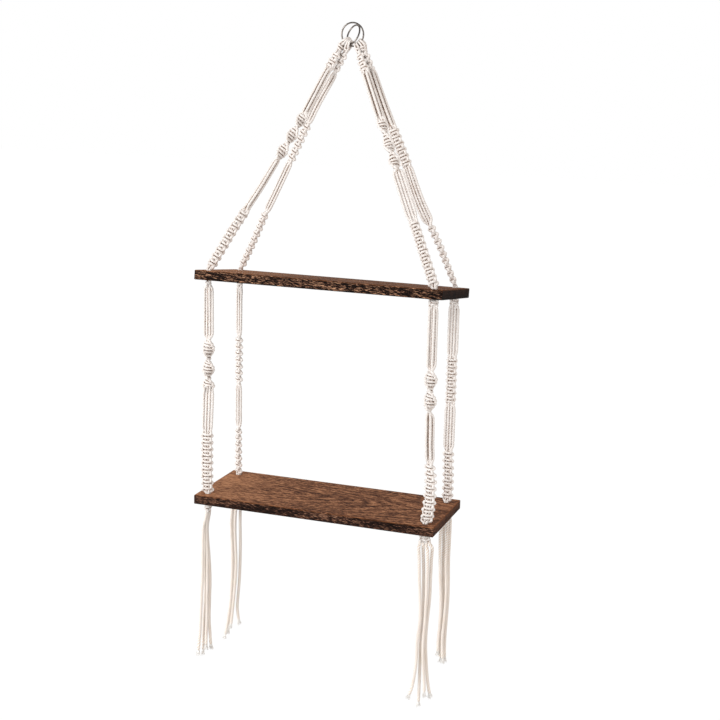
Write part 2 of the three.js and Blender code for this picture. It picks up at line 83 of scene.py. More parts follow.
def unit(vectors):
    return vectors / np.linalg.norm(vectors, axis=-1, keepdims=True)


def dot(a, b):
    return (a * b).sum(-1)


def ease(share):
    share = np.clip(share, 0, 1)
    return share * share * (3 - 2 * share)


def makeMesh(name, vertices, faces, pattern=None, marks=None):
    # vertices in mm, and faces as arrays of quads and triangles. The pattern holds one (u, v) for each corner
    # of each face, and marks are named numbers, one for each vertex
    mesh = bpy.data.meshes.new(name)
    mesh.vertices.add(len(vertices))
    mesh.vertices.foreach_set("co", (vertices * mm).astype(np.float32).ravel())
    corners = np.concatenate([f.ravel() for f in faces])
    sizes = np.concatenate([np.full(len(f), f.shape[1]) for f in faces])
    mesh.loops.add(len(corners))
    mesh.loops.foreach_set("vertex_index", corners.astype(np.int32))
    mesh.polygons.add(len(sizes))
    mesh.polygons.foreach_set("loop_start", (np.cumsum(sizes) - sizes).astype(np.int32))
    mesh.polygons.foreach_set("use_smooth", np.ones(len(sizes), bool))
    if pattern is not None:
        layer = mesh.uv_layers.new(name="cordPattern")
        layer.data.foreach_set("uv", pattern.astype(np.float32).ravel())
    for key, values in (marks or {}).items():
        mesh.attributes.new(key, "FLOAT", "POINT").data.foreach_set("value", values.astype(np.float32))
    mesh.update(calc_edges=True)
    mesh.validate()
    piece = bpy.data.objects.new(name, mesh)
    scene.collection.objects.link(piece)
    return piece


def lengthAlong(points):
    return np.concatenate([[0], np.cumsum(np.linalg.norm(np.diff(points, axis=0), axis=1))])


def respaced(points, step, *others):
    # the same line with its points evenly spaced, and other values carried along with it
    along = lengthAlong(points)
    count = max(3, int(round(along[-1] / step)) + 1)
    places = np.linspace(0, along[-1], count)
    line = np.stack([np.interp(places, along, points[:, i]) for i in range(3)], axis=1)
    return (line, *[np.interp(places, along, values) for values in others])


def softened(values, spread):
    # each value becomes the mean of its neighbours, weighted by a bell curve that is spread steps wide
    values = values.reshape(len(values), -1)
    reach = min(math.ceil(3 * spread), len(values) - 1)
    bell = np.exp(-0.5 * (np.arange(-reach, reach + 1) / spread) ** 2)
    bell /= bell.sum()
    before = 2 * values[0] - values[reach:0:-1]
    after = 2 * values[-1] - values[-2:-reach - 2:-1]
    padded = np.concatenate([before, values, after])
    return np.stack([np.convolve(column, bell, "valid") for column in padded.T], axis=1)


# cord: three plies laid round each other

cordSettings = {
    "diameter": 4.6,
    "plies": 3,
    "layLength": 12.5,
    "layShift": 1.7,  # from one cord of a leg to the next
    "grooveDepth": 0.12,
    "sides": 12,
    "step": 1.25,
    "endShare": 0.93,  # how thick a cut end is, inside its neighbour's
}
crowdSettings = {
    "margin": 8,
    "probe": 2.4,
    "full": 4.0,
    "spread": ((-2, 0.35), (-1, 0.8), (0, 1), (1, 0.8), (2, 0.35)),
}


def layTurns(along):
    # how far the plies have wound round at these lengths
    return along * 2 * np.pi / cordSettings["layLength"]


def cordTube(line, radii, turns):
    # a round section whose radius dips in a groove between each two plies. It is carried along the line by
    # the least turning, while the grooves wind round it with its length
    count, sides = len(line), cordSettings["sides"]
    tangent = unit(np.gradient(line, axis=0))
    helper = np.where(np.abs(tangent[:, 2:]) < 0.9, (0.0, 0.0, 1.0), (1.0, 0.0, 0.0))
    normal = unit(np.cross(tangent, helper))
    other = np.cross(tangent, normal)
    axis = np.cross(tangent[:-1], tangent[1:])
    cosine = dot(tangent[:-1], tangent[1:])[:, None]
    carried = normal[:-1] * cosine + np.cross(axis, normal[:-1])
    carried += axis * dot(axis, normal[:-1])[:, None] / (1 + cosine)
    drift = np.arctan2(dot(carried, other[1:]), dot(carried, normal[1:]))
    roll = np.concatenate([[0], np.cumsum(drift)]) + turns
    around = 2 * np.pi * np.arange(sides) / sides
    groove = 0.5 - 0.5 * np.cos(cordSettings["plies"] * around)
    angle = roll[:, None] + around
    out = np.cos(angle)[..., None] * normal[:, None] + np.sin(angle)[..., None] * other[:, None]
    reach = radii[:, None] * (1 - cordSettings["grooveDepth"] * groove)
    vertices = (line[:, None] + reach[..., None] * out).reshape(-1, 3)
    vertices = np.concatenate([vertices, line[:1], line[-1:]])
    row, column = np.meshgrid(np.arange(count - 1), np.arange(sides), indexing="ij")
    beside = (column + 1) % sides
    quads = np.stack([row * sides + column, row * sides + beside, (row + 1) * sides + beside,
                      (row + 1) * sides + column], axis=-1).reshape(-1, 4)
    column, beside = np.arange(sides), (np.arange(sides) + 1) % sides
    firstCap = np.stack([np.full(sides, count * sides), beside, column], axis=-1)
    lastCap = np.stack([np.full(sides, count * sides + 1), (count - 1) * sides + column,
                        (count - 1) * sides + beside], axis=-1)
    along = lengthAlong(line)
    pattern = np.empty((count - 1, sides, 4, 2))
    pattern[..., 0] = np.stack([column, column + 1, column + 1, column], axis=-1) / sides
    pattern[..., 1] = np.stack([along[:-1], along[:-1], along[1:], along[1:]], axis=-1)[:, None]
    return {
        "vertices": vertices,
        "quads": quads,
        "caps": np.concatenate([firstCap, lastCap]),
        "quadPattern": pattern.reshape(-1, 2),
        "capPattern": np.zeros((2 * sides * 3, 2)),
        "groove": np.concatenate([np.tile(groove, count), [0.5, 0.5]]),
        "outward": np.concatenate([out.reshape(-1, 3), -tangent[:1], tangent[-1:]]),
    }


def crowding(vertices, outward, lines):
    # how much cord lies just in front of each vertex: the centrelines are counted in 1 mm cells, the counts
    # are spread over their neighbours, and each vertex reads the cell that the probe reaches outwards of it
    low = vertices.min(0) - crowdSettings["margin"]
    size = np.ceil(vertices.max(0) + crowdSettings["margin"] - low).astype(int) + 1
    cells = np.floor(np.concatenate(lines) - low).astype(int)
    flat = np.ravel_multi_index(cells.T, size)
    counts = np.bincount(flat, minlength=size.prod()).reshape(size).astype(np.float32)
    for axis in range(3):
        counts = sum(np.roll(counts, shift, axis) * weight for shift, weight in crowdSettings["spread"])
    probe = np.floor(vertices + crowdSettings["probe"] * outward - low).astype(int)
    return np.clip(counts[tuple(probe.T)] / crowdSettings["full"], 0, 1)


def cordPiece(name, cords):
    # one mesh of several tubes; each cord is its line, its radii and its turns
    tubes = [cordTube(*cord) for cord in cords]
    starts = np.cumsum([0] + [len(tube["vertices"]) for tube in tubes])

    def joined(key):
        return np.concatenate([tube[key] for tube in tubes])

    def shifted(key):
        return np.concatenate([tube[key] + start for tube, start in zip(tubes, starts)])

    vertices = joined("vertices")
    pattern = np.concatenate([joined("quadPattern"), joined("capPattern")])
    # how close other cords crowd in front of each vertex, which the cotton paints as shade in the creases
    # between cords
    crowded = crowding(vertices, joined("outward"), [cord[0] for cord in cords])
    marks = {"groove": joined("groove"), "crowded": crowded}
    return makeMesh(name, vertices, [shifted("quads"), shifted("caps")], pattern, marks)


# where the legs run, in mm. Boards, rings and the strands' routes are those of the part's source, and the
# sizes of the knots are fitted to the photograph

boards = {"length": 400, "depth": 150, "thickness": 15, "holeInset": 18, "spacing": 354, "lean": 7.5}
rings = {
    "wire": 2.5, "largeOuter": 38, "smallOuter": 33, "setBack": 3.3, "heel": 33, "turn": 42, "offWall": 9,
    "aboveBoard": 371, "stepsAround": 120, "stepsAbout": 20,
}
knots = {
    "pitch": 10.7, "lowPitch": 11.2, "smallPitch": 7,
    "size": (18.4, 10), "ringSize": (16.6, 9.6), "berrySize": (19.6, 9.8), "tierBerrySize": (22.4, 10),
    "smallThickness": 10.4,
    "ringSinnetEnd": 46, "loopFoot": 25, "footLength": 1.2, "footGap": 2, "swingGap": 0.9, "mouthRise": 2.3,
    "bundle": 1.75,  # half the spacing of the cords where they pass a hole
    "boardFoot": 4.2,  # the lowest half knot ends this far above a board
    "ballDrop": 2.4, "ballTop": 2.2, "ballBundle": (0.6, 5.2),
    "lastDrop": 7, "lastWidth": 19.5, "lastTop": -15.6, "lastLow": -28.4, "lastBundle": (1.5, -14.0),
    "strandTop": -29.0,
    "lowerSinnet": 95,
    "leave": 4, "meet": 5, "gather": 8, "lowMeet": 6, "ballLeave": 6.8,  # gaps from knots to free cords
    "waist": 0.05, "flatness": 1.3,  # how far square knots narrow between two, and how squarely they cross
    "levelWave": 0.075, "drawWave": 0.03, "halfPoints": 26, "endPoints": 20,
    "berryLift": 4, "berryStart": 0.12, "berryGrowth": 12, "berryBend": 0.38, "berryBeyond": 60,
    "inner": 0.5, "berryInner": 0.44, "rowSpacing": 0.97,  # in cord diameters
}

# each corner: where its loop sits on the ring and what channel it leaves for the wires, how far its leg bows
# to the right at shares of its length, how its knots are turned in degrees, how far its rows of free cords
# reach aside, and the places of its knots, as shares of the ring leg down from the wire and of the tier leg
# up from the lower board
corners = {
    "front_left": {
        "side": -1, "row": -1, "endInset": 16, "loopAngle": 220, "channel": (3.8, 1, 9.2, 1.9), "wraps": 2,
        "bow": ((0.08, 0), (0.36, 5.2), (0.6, 4.8), (0.86, 0)), "ringTurn": (-40, 15),
        "legTurn": 0, "tierTurn": 6,
        "tasselTurn": 95, "ball": (10.0, -4.2), "rows": ((3.2, 4.2), (2.9, 2.9), (6.2, 7.0), (7.6, 7.2)),
        "boardFaces": (20, 0), "lowFaces": (6, 6), "boardWidth": 17.4, "lowRise": 7, "lowWidth": 21.2,
        "tierBow": ((0.5, 0), (0.72, -1.9), (0.9, -2.2), (0.975, -1), (1.0, 0)),
        "lobes": (0.335, 0.405, 0.477), "middle": (0.316, 0.508), "boardSinnet": 0.741,
        "tierLobes": (0.693, 0.594, 0.517), "tierMiddle": (0.731, 0.497),
        "tassel": (
            ((-4.9, -6.5, -32.7), (-5.8, -6.5, -56.6), (-6.7, -6.5, -91), (-7.2, -6.5, -125.6),
             (-8.4, -6.5, -160.4), (-10.3, -6.5, -195.7), (-12.4, -6.5, -231.2), (-14.8, -6.5, -259)),
            ((-1.6, -2, -33.6), (-1.2, -2, -57.5), (-0.4, -2, -91.6), (-0.2, -2, -126.1),
             (-0.9, -2, -160.9), (-1.5, -2, -204.7), (-2.4, -2, -249)),
            ((-6.5, 3, -35.9), (-6.1, 3, -59.8), (-6.8, 3, -94.3), (-6.6, 3, -128.9), (-6.7, 3, -163.7),
             (-8.5, 3, -199.1), (-9.6, 3, -234.6), (-10.3, 3, -261.3)),
            ((-5, 8, -37.3), (-4, 8, -61.2), (-1.6, 8, -95.2), (-0.1, 8, -129.7), (-0.6, 8, -164.6),
             (-1.5, 8, -199.9), (0.8, 8, -234.8), (2.3, 8, -251.4)),
        ),
    },
    "front_right": {
        "side": 1, "row": -1, "endInset": 18, "loopAngle": 294, "channel": (1.9, 0, 0.4, 0), "wraps": 1,
        "bow": (), "ringTurn": (-50, 0), "legTurn": 0, "tierTurn": 0,
        "tasselTurn": 12, "ball": (17.0, -8.2), "rows": ((4.6, 5.0), (7.0, 7.2), (5.8, 5.8), (5.0, 5.2)),
        "boardFaces": (10, 0), "lowFaces": (-38, 10), "boardWidth": 17.2, "lowRise": 1, "lowWidth": 21.2,
        "tierBow": ((0.42, 0), (0.62, 1.6), (0.72, 3.2), (0.8, 5.8), (0.88, 5.4), (0.975, 2.6), (1.0, 0)),
        "lobes": (0.335, 0.426, 0.492), "middle": (0.318, 0.523), "boardSinnet": 0.733,
        "tierLobes": (0.65, 0.554), "tierMiddle": (0.69, 0.512),
        "tassel": (
            ((-7.7, -5, -15.8), (-6.3, -5, -36.6), (-4.9, -5, -68.9), (-2.6, -5, -106.2),
             (-1.9, -5, -134.1), (-4.7, -5, -167.7), (-5.4, -5, -201.2), (-8.8, -5, -235.4),
             (-12.2, -5, -252.9), (-18.6, -5, -269.4)),
            ((-2.4, 1.5, -23.7), (-1, 1.5, -46.2), (-0.1, 1.5, -78.7), (1.1, 1.5, -108.1),
             (1.1, 1.5, -136.1), (-1.7, 1.5, -169.8), (-1.4, 1.5, -203.2), (-1, 1.5, -236.8),
             (-1.7, 1.5, -282.7)),
            ((6.1, -4, -20.6), (6.7, -4, -43.1), (7.1, -4, -70.7), (7, -4, -100.1), (6.1, -4, -133.1),
             (4.4, -4, -166.5), (5.4, -4, -199.7), (7.9, -4, -232.8), (9.2, -4, -262.9)),
            ((10.9, 2.5, -15.6), (10.9, 2.5, -36.6), (10.8, 2.5, -69.2), (9.9, 2.5, -105.4),
             (7.8, 2.5, -135.4), (6.7, 2.5, -168.8), (8.2, 2.5, -201.9), (11.7, 2.5, -234.9),
             (17.9, 2.5, -265.9)),
        ),
    },
    "back_left": {
        "side": -1, "row": 1, "endInset": 18, "loopAngle": 249, "channel": (3.8, -1, 2.8, 1.8), "wraps": 1,
        "bow": ((0.08, 0), (0.28, -4.8), (0.7, -3), (0.95, 0)), "ringTurn": (-40, -60),
        "legTurn": -38, "tierTurn": -42,
        "tasselTurn": 15, "ball": (12.0, -8.2), "rows": ((3.6, 5.0), (5.2, 5.2), (6.0, 6.6), (5.6, 5.6)),
        "boardFaces": (-42, -46), "lowFaces": (-52, -48), "boardWidth": 16.6, "lowRise": 1.5, "lowWidth": 19,
        "tierBow": ((0.02, 0), (0.1, -1), (0.9, -0.8), (1.0, 0)),
        "middle": (0.335, 0.506), "boardSinnet": 0.737, "tierMiddle": (0.72, 0.478),
        "tassel": (
            ((-8.8, -3.4, -20), (-10.1, -3.6, -38.4), (-11.6, -3.6, -63.5), (-10.7, -3.6, -95.6),
             (-9.4, -3.6, -131.4), (-9.8, -3.6, -167.6), (-12.6, -3.6, -204.5), (-17.3, -3.6, -242),
             (-23.8, -3.6, -278.3)),
            ((-11, 4, -40.8), (-11.8, 4, -65.9), (-11, 4, -98.1), (-10.1, 4, -134.1), (-10.6, 4, -170.5),
             (-13.3, 4, -207.5), (-17.1, 4, -245), (-21.7, 4, -271.7)),
            ((-3.3, -3, -37.7), (-4.9, -3, -62.8), (-4.1, -3, -94.8), (-2.8, -3, -130.6),
             (-3.9, -3, -166.9), (-6.7, -3, -203.8), (-10.4, -3, -237.4), (-13, -3, -258.2)),
            ((6.4, 3.2, -19), (2.2, 3.6, -38.9), (1.8, 3.6, -63.9), (2, 3.6, -96.1), (1.9, 3.6, -132.2),
             (1, 3.6, -168.6), (-2.3, 3.6, -205.6), (-3, 3.6, -220.4), (1.2, 3.6, -251)),
        ),
    },
    "back_right": {
        "side": 1, "row": 1, "endInset": 18, "loopAngle": 322, "channel": (1.9, 0, 0.4, 0), "wraps": 2,
        "bow": ((0.08, 0), (0.3, -3), (0.47, -3), (0.64, -5.6), (0.86, 0)), "ringTurn": (-50, -50),
        "legTurn": 0, "tierTurn": 4,
        "tasselTurn": 15, "ball": (16.0, -8.2), "rows": ((4.0, 5.0), (6.2, 7.2), (6.8, 7.0), (6.9, 6.9)),
        "boardFaces": (-42, -60), "lowFaces": (-16, -12),
        "boardWidth": 16.8, "lowRise": 6.5, "lowWidth": 19.4,
        "tierBow": ((0.75, 0), (0.9, 1.3), (0.975, 1.3), (1.0, 0)),
        "middle": (0.35, 0.51), "boardSinnet": 0.748, "tierMiddle": (0.72, 0.492),
        "tassel": (
            ((-7.2, -3.4, -29), (-6.9, -3.4, -51), (-6, -3.4, -76.4), (-4.6, -3.4, -110.4),
             (-1.9, -3.4, -144.5), (-2.1, -3.4, -179.2), (-4.2, -3.4, -214.4), (-4.8, -3.4, -243.5)),
            ((-3.3, 3, -30.5), (-2.8, 3, -52.5), (-2.7, 3, -78.1), (-0.8, 3, -112.1), (0.5, 3, -146.5),
             (-0.2, 3, -181.3), (-2.1, 3, -216.6), (-0.7, 3, -256.9)),
            ((3.8, -3.4, -27.4), (4, -3.4, -49.4), (4.1, -3.4, -74.9), (6, -3.4, -108.8),
             (6.1, -3.4, -143.2), (4.8, -3.4, -178), (3.1, -3.4, -213.2), (4.9, -3.4, -255)),
            ((6.8, 3.2, -29.2), (6.8, 3.2, -51.2), (6.5, 3.2, -76.8), (7.3, 3.2, -110.9),
             (8, 3.2, -145.3), (6.8, 3.2, -180.2), (5.2, 3.2, -215.5), (6.7, 3.2, -254.8)),
        ),
    },
}

largeRadius = (rings["largeOuter"] - rings["wire"]) / 2
smallRadius = (rings["smallOuter"] - rings["wire"]) / 2
ringCentre = np.array((0.0, 0.0, rings["wire"] - rings["largeOuter"] / 2))
lean = math.radians(boards["lean"])
boardSetback = boards["depth"] / 2 - rings["offWall"]
knotDepth = boards["thickness"] + knots["ballDrop"]
upperBoard = {
    "middle": np.array((0.0, -boardSetback, ringCentre[2] - rings["aboveBoard"])),
    "back": np.array((0.0, math.cos(lean), -math.sin(lean))),
    "up": np.array((0.0, math.sin(lean), math.cos(lean))),
}
lowerBoard = {
    "middle": upperBoard["middle"] - knotDepth * upperBoard["up"],
    "back": np.array((0.0, 1.0, 0.0)),
    "up": np.array((0.0, 0.0, 1.0)),
}
lowerBoard["middle"][2] = upperBoard["middle"][2] - boards["spacing"]


def holePlace(corner, board, height):
    # a point above the middle of a hole in a board's top face, square to the board
    x = corner["side"] * (boards["length"] / 2 - corner["endInset"])
    y = corner["row"] * (boards["depth"] / 2 - boards["holeInset"])
    return board["middle"] + (x, 0, 0) + y * board["back"] + height * board["up"]


def legFrame(origin, towards):
    # a leg's axes: up along it, across to the viewer's right and through towards the wall
    up = unit(towards - origin)
    across = unit(np.array((1.0, 0.0, 0.0)) - up[0] * up)
    return {"origin": origin, "up": up, "across": across, "through": np.cross(up, across)}


def turnAbout(leg, degrees):
    # the angle about the leg of an across that is turned from the viewer's right by these degrees in plan
    angle = math.radians(degrees)
    across = np.array((math.cos(angle), math.sin(angle), 0.0))
    extra = 2 * math.pi * round(angle / (2 * math.pi))
    return math.atan2(across @ leg["through"], across @ leg["across"]) + extra


def bowAt(bow, share):
    # how far a leg hangs to the right at each share of its length, eased from each listed place to the next
    reach = np.zeros(np.shape(share))
    for (fromPlace, fromReach), (toPlace, toReach) in zip(bow[:-1], bow[1:]):
        eased = fromReach + (toReach - fromReach) * ease((share - fromPlace) / (toPlace - fromPlace))
        reach = np.where((share > fromPlace) & (share <= toPlace), eased, reach)
    return reach


def placed(leg, x, y, height, turn=0.0):
    # points of a leg's cross sections at these heights, each turned about the leg
    across = x * np.cos(turn) - y * np.sin(turn)
    through = x * np.sin(turn) + y * np.cos(turn)
    return (leg["origin"] + across[..., None] * leg["across"] + through[..., None] * leg["through"]
            + height[..., None] * leg["up"])


# knots: each gives four tracks from its top down: left outer, left inner, right inner, right outer


def knotRun(top, low, pitch):
    # half knots that fill the height: a full turn of the phase is one full knot. The height falls with the
    # phase, a wave of twice the phase keeps the cords level as they cross, and a wave of the phase draws the
    # two crossings of one knot together
    halves = max(1, round(2 * (abs(top - low) / pitch - 0.25)))
    pitch = (top - low) / (halves / 2 + 0.25)
    count = knots["halfPoints"] * halves + knots["endPoints"]
    phase = np.linspace(-np.pi / 4, (halves + 0.25) * np.pi, count)
    waves = knots["levelWave"] * np.sin(2 * phase) + knots["drawWave"] * np.sin(phase)
    height = top - pitch / 8 - pitch * (phase / (2 * np.pi) + waves)
    drawn = ease((phase + np.pi / 4) / (np.pi / 4)) * ease((phase[-1] - phase) / (np.pi / 4))
    return {"phase": phase, "height": height, "drawn": drawn, "level": np.linspace(top, low, count),
            "swapped": halves % 2 == 1}


def knotSection(leg, run, x, y, angle, innerPlace, innerAngle):
    # the two outer cords mirror each other about the leg, and the two inner ones keep straight between them
    inner, still = np.full(len(x), innerPlace), np.zeros(len(x))
    tracks = [placed(leg, x, y, run["height"], angle), placed(leg, -inner, still, run["level"], innerAngle),
              placed(leg, inner, still, run["level"], innerAngle), placed(leg, -x, -y, run["height"], angle)]
    return {"tracks": tracks, "swapped": run["swapped"], "tight": 1.0}


def squareKnots(leg, top, low, size, turn, pitch=knots["pitch"]):
    # the left cord always crosses in front of the two inner cords and the right one behind them: across is a
    # cosine of the phase, which reaches less far between two knots, and depth is a flattened cosine of twice
    # the phase. The turn is given at the top and at the low end
    run, cord = knotRun(top, low, pitch), cordSettings["diameter"]
    phase = run["phase"]
    sway, swell = (size[0] - cord) / 2, (size[1] - cord) / 2
    waist, flatness = knots["waist"], knots["flatness"]
    x = -sway * np.cos(phase) * (1 - waist - waist * np.cos(phase))
    y = swell * run["drawn"] * np.tanh(flatness * np.cos(2 * phase)) / math.tanh(flatness)
    angle = np.interp(run["height"], (low, top), (turn[1], turn[0]))
    innerAngle = np.interp(run["level"], (low, top), (turn[1], turn[0]))
    return knotSection(leg, run, x, y, angle, knots["inner"] * cord, innerAngle)


def spiralKnots(leg, top, low, lobes, size, facing):
    # half knots that are all tied the same way, so that the row winds round by half a turn from lobe to lobe:
    # each outer cord circles the inner two, and bends over the other one at each side
    run, cord = knotRun(top, low, knots["pitch"]), cordSettings["diameter"]
    phase, height = run["phase"], run["height"]
    grow = 1 - knots["berryStart"] * (1 - ease((top - height) / knots["berryGrowth"]))
    sway, swell = (size[0] - cord) / 2 * grow, (size[1] - cord) / 2
    x = -sway * np.cos(phase)
    bend = knots["berryBend"]
    y = swell * run["drawn"] * (bend * np.sin(3 * phase) - (1 - bend) * np.sin(phase))
    turns = facing + np.pi * np.arange(len(lobes))
    rate = np.gradient(turns, lobes)
    beyond = knots["berryBeyond"]
    ends = np.array((lobes[0] + beyond, *lobes, lobes[-1] - beyond))
    endTurns = np.array((turns[0] + beyond * rate[0], *turns, turns[-1] - beyond * rate[-1]))
    angle = np.interp(-height, -ends, endTurns)
    innerAngle = np.interp(-run["level"], -ends, endTurns)
    return knotSection(leg, run, x, y, angle, knots["berryInner"] * cord, innerAngle)


def plainHeights(top, low):
    # about one for each millimetre
    return np.linspace(top, low, max(4, int(top - low)))


def freeRow(leg, top, low, turn, outer):
    # four cords side by side. Where the row is narrow, every other cord moves back to leave room
    height = plainHeights(top, low)
    reach = np.linspace(outer[0], outer[1], len(height))
    inner = reach / 3
    apart, least = knots["rowSpacing"] * cordSettings["diameter"], 0.1
    back = np.maximum(0.5 * np.sqrt(np.maximum(apart ** 2 - (reach - inner) ** 2, 0)), least)
    tracks = [placed(leg, x, y, height, turn) for x, y in
              ((-reach, -back), (-inner, back), (inner, -back), (reach, back))]
    return {"tracks": tracks, "swapped": False, "tight": 0.0}


def bundle(leg, top, low):
    # the four cords two by two, as they pass a hole
    height = plainHeights(top, low)
    half = np.full(len(height), knots["bundle"])
    places = ((-1, -1), (-1, 1), (1, -1), (1, 1))
    tracks = [placed(leg, x * half, y * half, height) for x, y in places]
    return {"tracks": tracks, "swapped": False, "tight": 1.0}


runSettings = {"joinStep": 0.8, "fineStep": 0.6, "crisp": 1.1, "rounded": 5.0, "blend": 4.0}


def runCords(sections):
    # follows each of the four cords through the sections, joins these by straight stretches, rounds the
    # joins, and gives for each cord its line and the node that each point belongs to
    seats = [0, 1, 2, 3]
    runs = [[] for _ in seats]
    for section in sections:
        for track, cord in zip(section["tracks"], seats):
            tight = np.full(len(track), section["tight"])
            if runs[cord]:
                last, _, lastTight = runs[cord][-1]
                count = max(2, int(np.linalg.norm(track[0] - last[-1]) / runSettings["joinStep"]))
                share = np.linspace(0, 1, count + 2)[1:-1, None]
                join = last[-1] + (track[0] - last[-1]) * share
                blend = np.linspace(lastTight[-1], tight[0], count + 2)[1:-1]
                runs[cord].append((join, np.full(count, section["joinNode"], float), blend))
            runs[cord].append((track, np.full(len(track), section["node"], float), tight))
        if section["swapped"]:
            seats[0], seats[3] = seats[3], seats[0]
    cords = []
    for run in runs:
        line, owner, tight = (np.concatenate(values) for values in zip(*run))
        line, owner, tight = respaced(line, runSettings["fineStep"], owner, tight)
        crisp, rounded = softened(line, runSettings["crisp"]), softened(line, runSettings["rounded"])
        line = rounded + (crisp - rounded) * np.clip(softened(tight, runSettings["blend"]), 0, 1)
        line, owner = respaced(line, cordSettings["step"], owner)
        cords.append((line, np.round(owner).astype(int)))
    return cords


def cutCords(cords, node):
    # each cord's stretch in one node, with a point more at both ends that is a little thinner, so it lies
    # inside the neighbour's end
    found = []
    for number, (line, owner) in enumerate(cords):
        where = np.flatnonzero(owner == node)
        cut = slice(max(where[0] - 1, 0), min(where[-1] + 1, len(line) - 1) + 1)
        turns = layTurns(lengthAlong(line)) + number * cordSettings["layShift"]
        radii = np.full(len(line[cut]), cordSettings["diameter"] / 2)
        radii[[0, -1]] *= cordSettings["endShare"]
        found.append((line[cut], radii, turns[cut]))
    return found


# a tassel's four cords start side by side below the last knot: across, and down from its middle
strandStarts = ((-7.5, 7.9), (-2.5, 9.4), (2.5, 9.4), (7.5, 7.9))
loopSettings = {
    "cord": 4, "run": 1.9, "depth": 2.0,  # half the spacings of the cords along the wire and across it
    "bendShare": 0.46, "bendPoints": 40, "sidePoints": 24, "footOverlap": 2.4, "fineStep": 0.6, "spread": 2.5,
    "wrap": {"radius": 1.85, "rise": 1.6, "pitch": 4.3, "across": 3.1, "through": 4.6, "points": 40},
}


def inNode(number, section, joinNumber=None):
    # the number counts in nodeNames, and the stretch that joins the section to the one above may be another's
    return {**section, "node": number, "joinNode": number if joinNumber is None else joinNumber}


def ringLeg(corner):
    # a leg's line from the upper board's hole to the ring's wire, and how far below the wire its loop ends
    loop = math.radians(corner["loopAngle"])
    wirePoint = ringCentre + largeRadius * np.array((math.cos(loop), 0.0, math.sin(loop)))
    leg = legFrame(holePlace(corner, upperBoard, knots["mouthRise"]), wirePoint)
    leg["wirePoint"] = wirePoint
    leg["length"] = np.linalg.norm(wirePoint - leg["origin"])
    leg["reach"] = (wirePoint[2] - ringCentre[2] + knots["loopFoot"]) / leg["up"][2]
    return leg


def ringLegSections(corner, leg):
    # from the loops to the upper board
    length = leg["length"]
    sinnetTop = length - leg["reach"] - knots["swingGap"]
    ringLow = length - knots["ringSinnetEnd"]
    boardTop = (1 - corner["boardSinnet"]) * length
    legTurn = turnAbout(leg, corner["legTurn"])

    # where the loops end, two cords before the ring's wire and two behind it
    foot = np.array((sinnetTop + knots["footLength"], sinnetTop))
    run, depth = loopSettings["run"], loopSettings["depth"]
    feet = [placed(leg, np.full(2, x), np.full(2, y), foot)
            for x, y in ((-run, depth), (-run, -depth), (run, depth), (run, -depth))]
    ringTurn = [turnAbout(leg, turn) for turn in corner["ringTurn"]]
    ring = squareKnots(leg, sinnetTop - knots["footGap"], ringLow, knots["ringSize"], ringTurn)

    top, low = ((1 - share) * length for share in corner["middle"])
    if "lobes" in corner:
        lobes = [(1 - share) * length for share in corner["lobes"]]
        middle = spiralKnots(leg, top, low, lobes, knots["berrySize"], turnAbout(leg, cameraSettings["yaw"]))
    else:
        middle = squareKnots(leg, top, low, knots["size"], (legTurn, legTurn))
    faces = [turnAbout(leg, turn) for turn in corner["boardFaces"]]
    board = squareKnots(leg, boardTop, knots["boardFoot"], (corner["boardWidth"], knots["size"][1]), faces)
    return [
        inNode(0, {"tracks": feet, "swapped": False, "tight": 1.0}),
        inNode(0, ring),
        inNode(1, freeRow(leg, ringLow - knots["leave"], top + knots["meet"], legTurn, corner["rows"][0])),
        inNode(2, middle, 1),
        inNode(3, freeRow(leg, low - knots["leave"], boardTop + knots["gather"], legTurn, corner["rows"][1])),
        inNode(4, board, 3),
    ]


def holeSections(corner):
    # through the upper hole, square to the board, and the knot below it
    hole = {"origin": holePlace(corner, upperBoard, -knotDepth), "up": upperBoard["up"],
            "across": np.array((1.0, 0.0, 0.0)), "through": upperBoard["back"]}
    above, low = knots["ballBundle"]
    width, ballLow = corner["ball"]
    facing = math.radians(cameraSettings["yaw"])
    ball = squareKnots(hole, knots["ballTop"], ballLow, (width, knots["smallThickness"]), (facing, facing),
                       knots["smallPitch"])
    return [inNode(4, bundle(hole, knotDepth + above, low)), inNode(4, ball)]


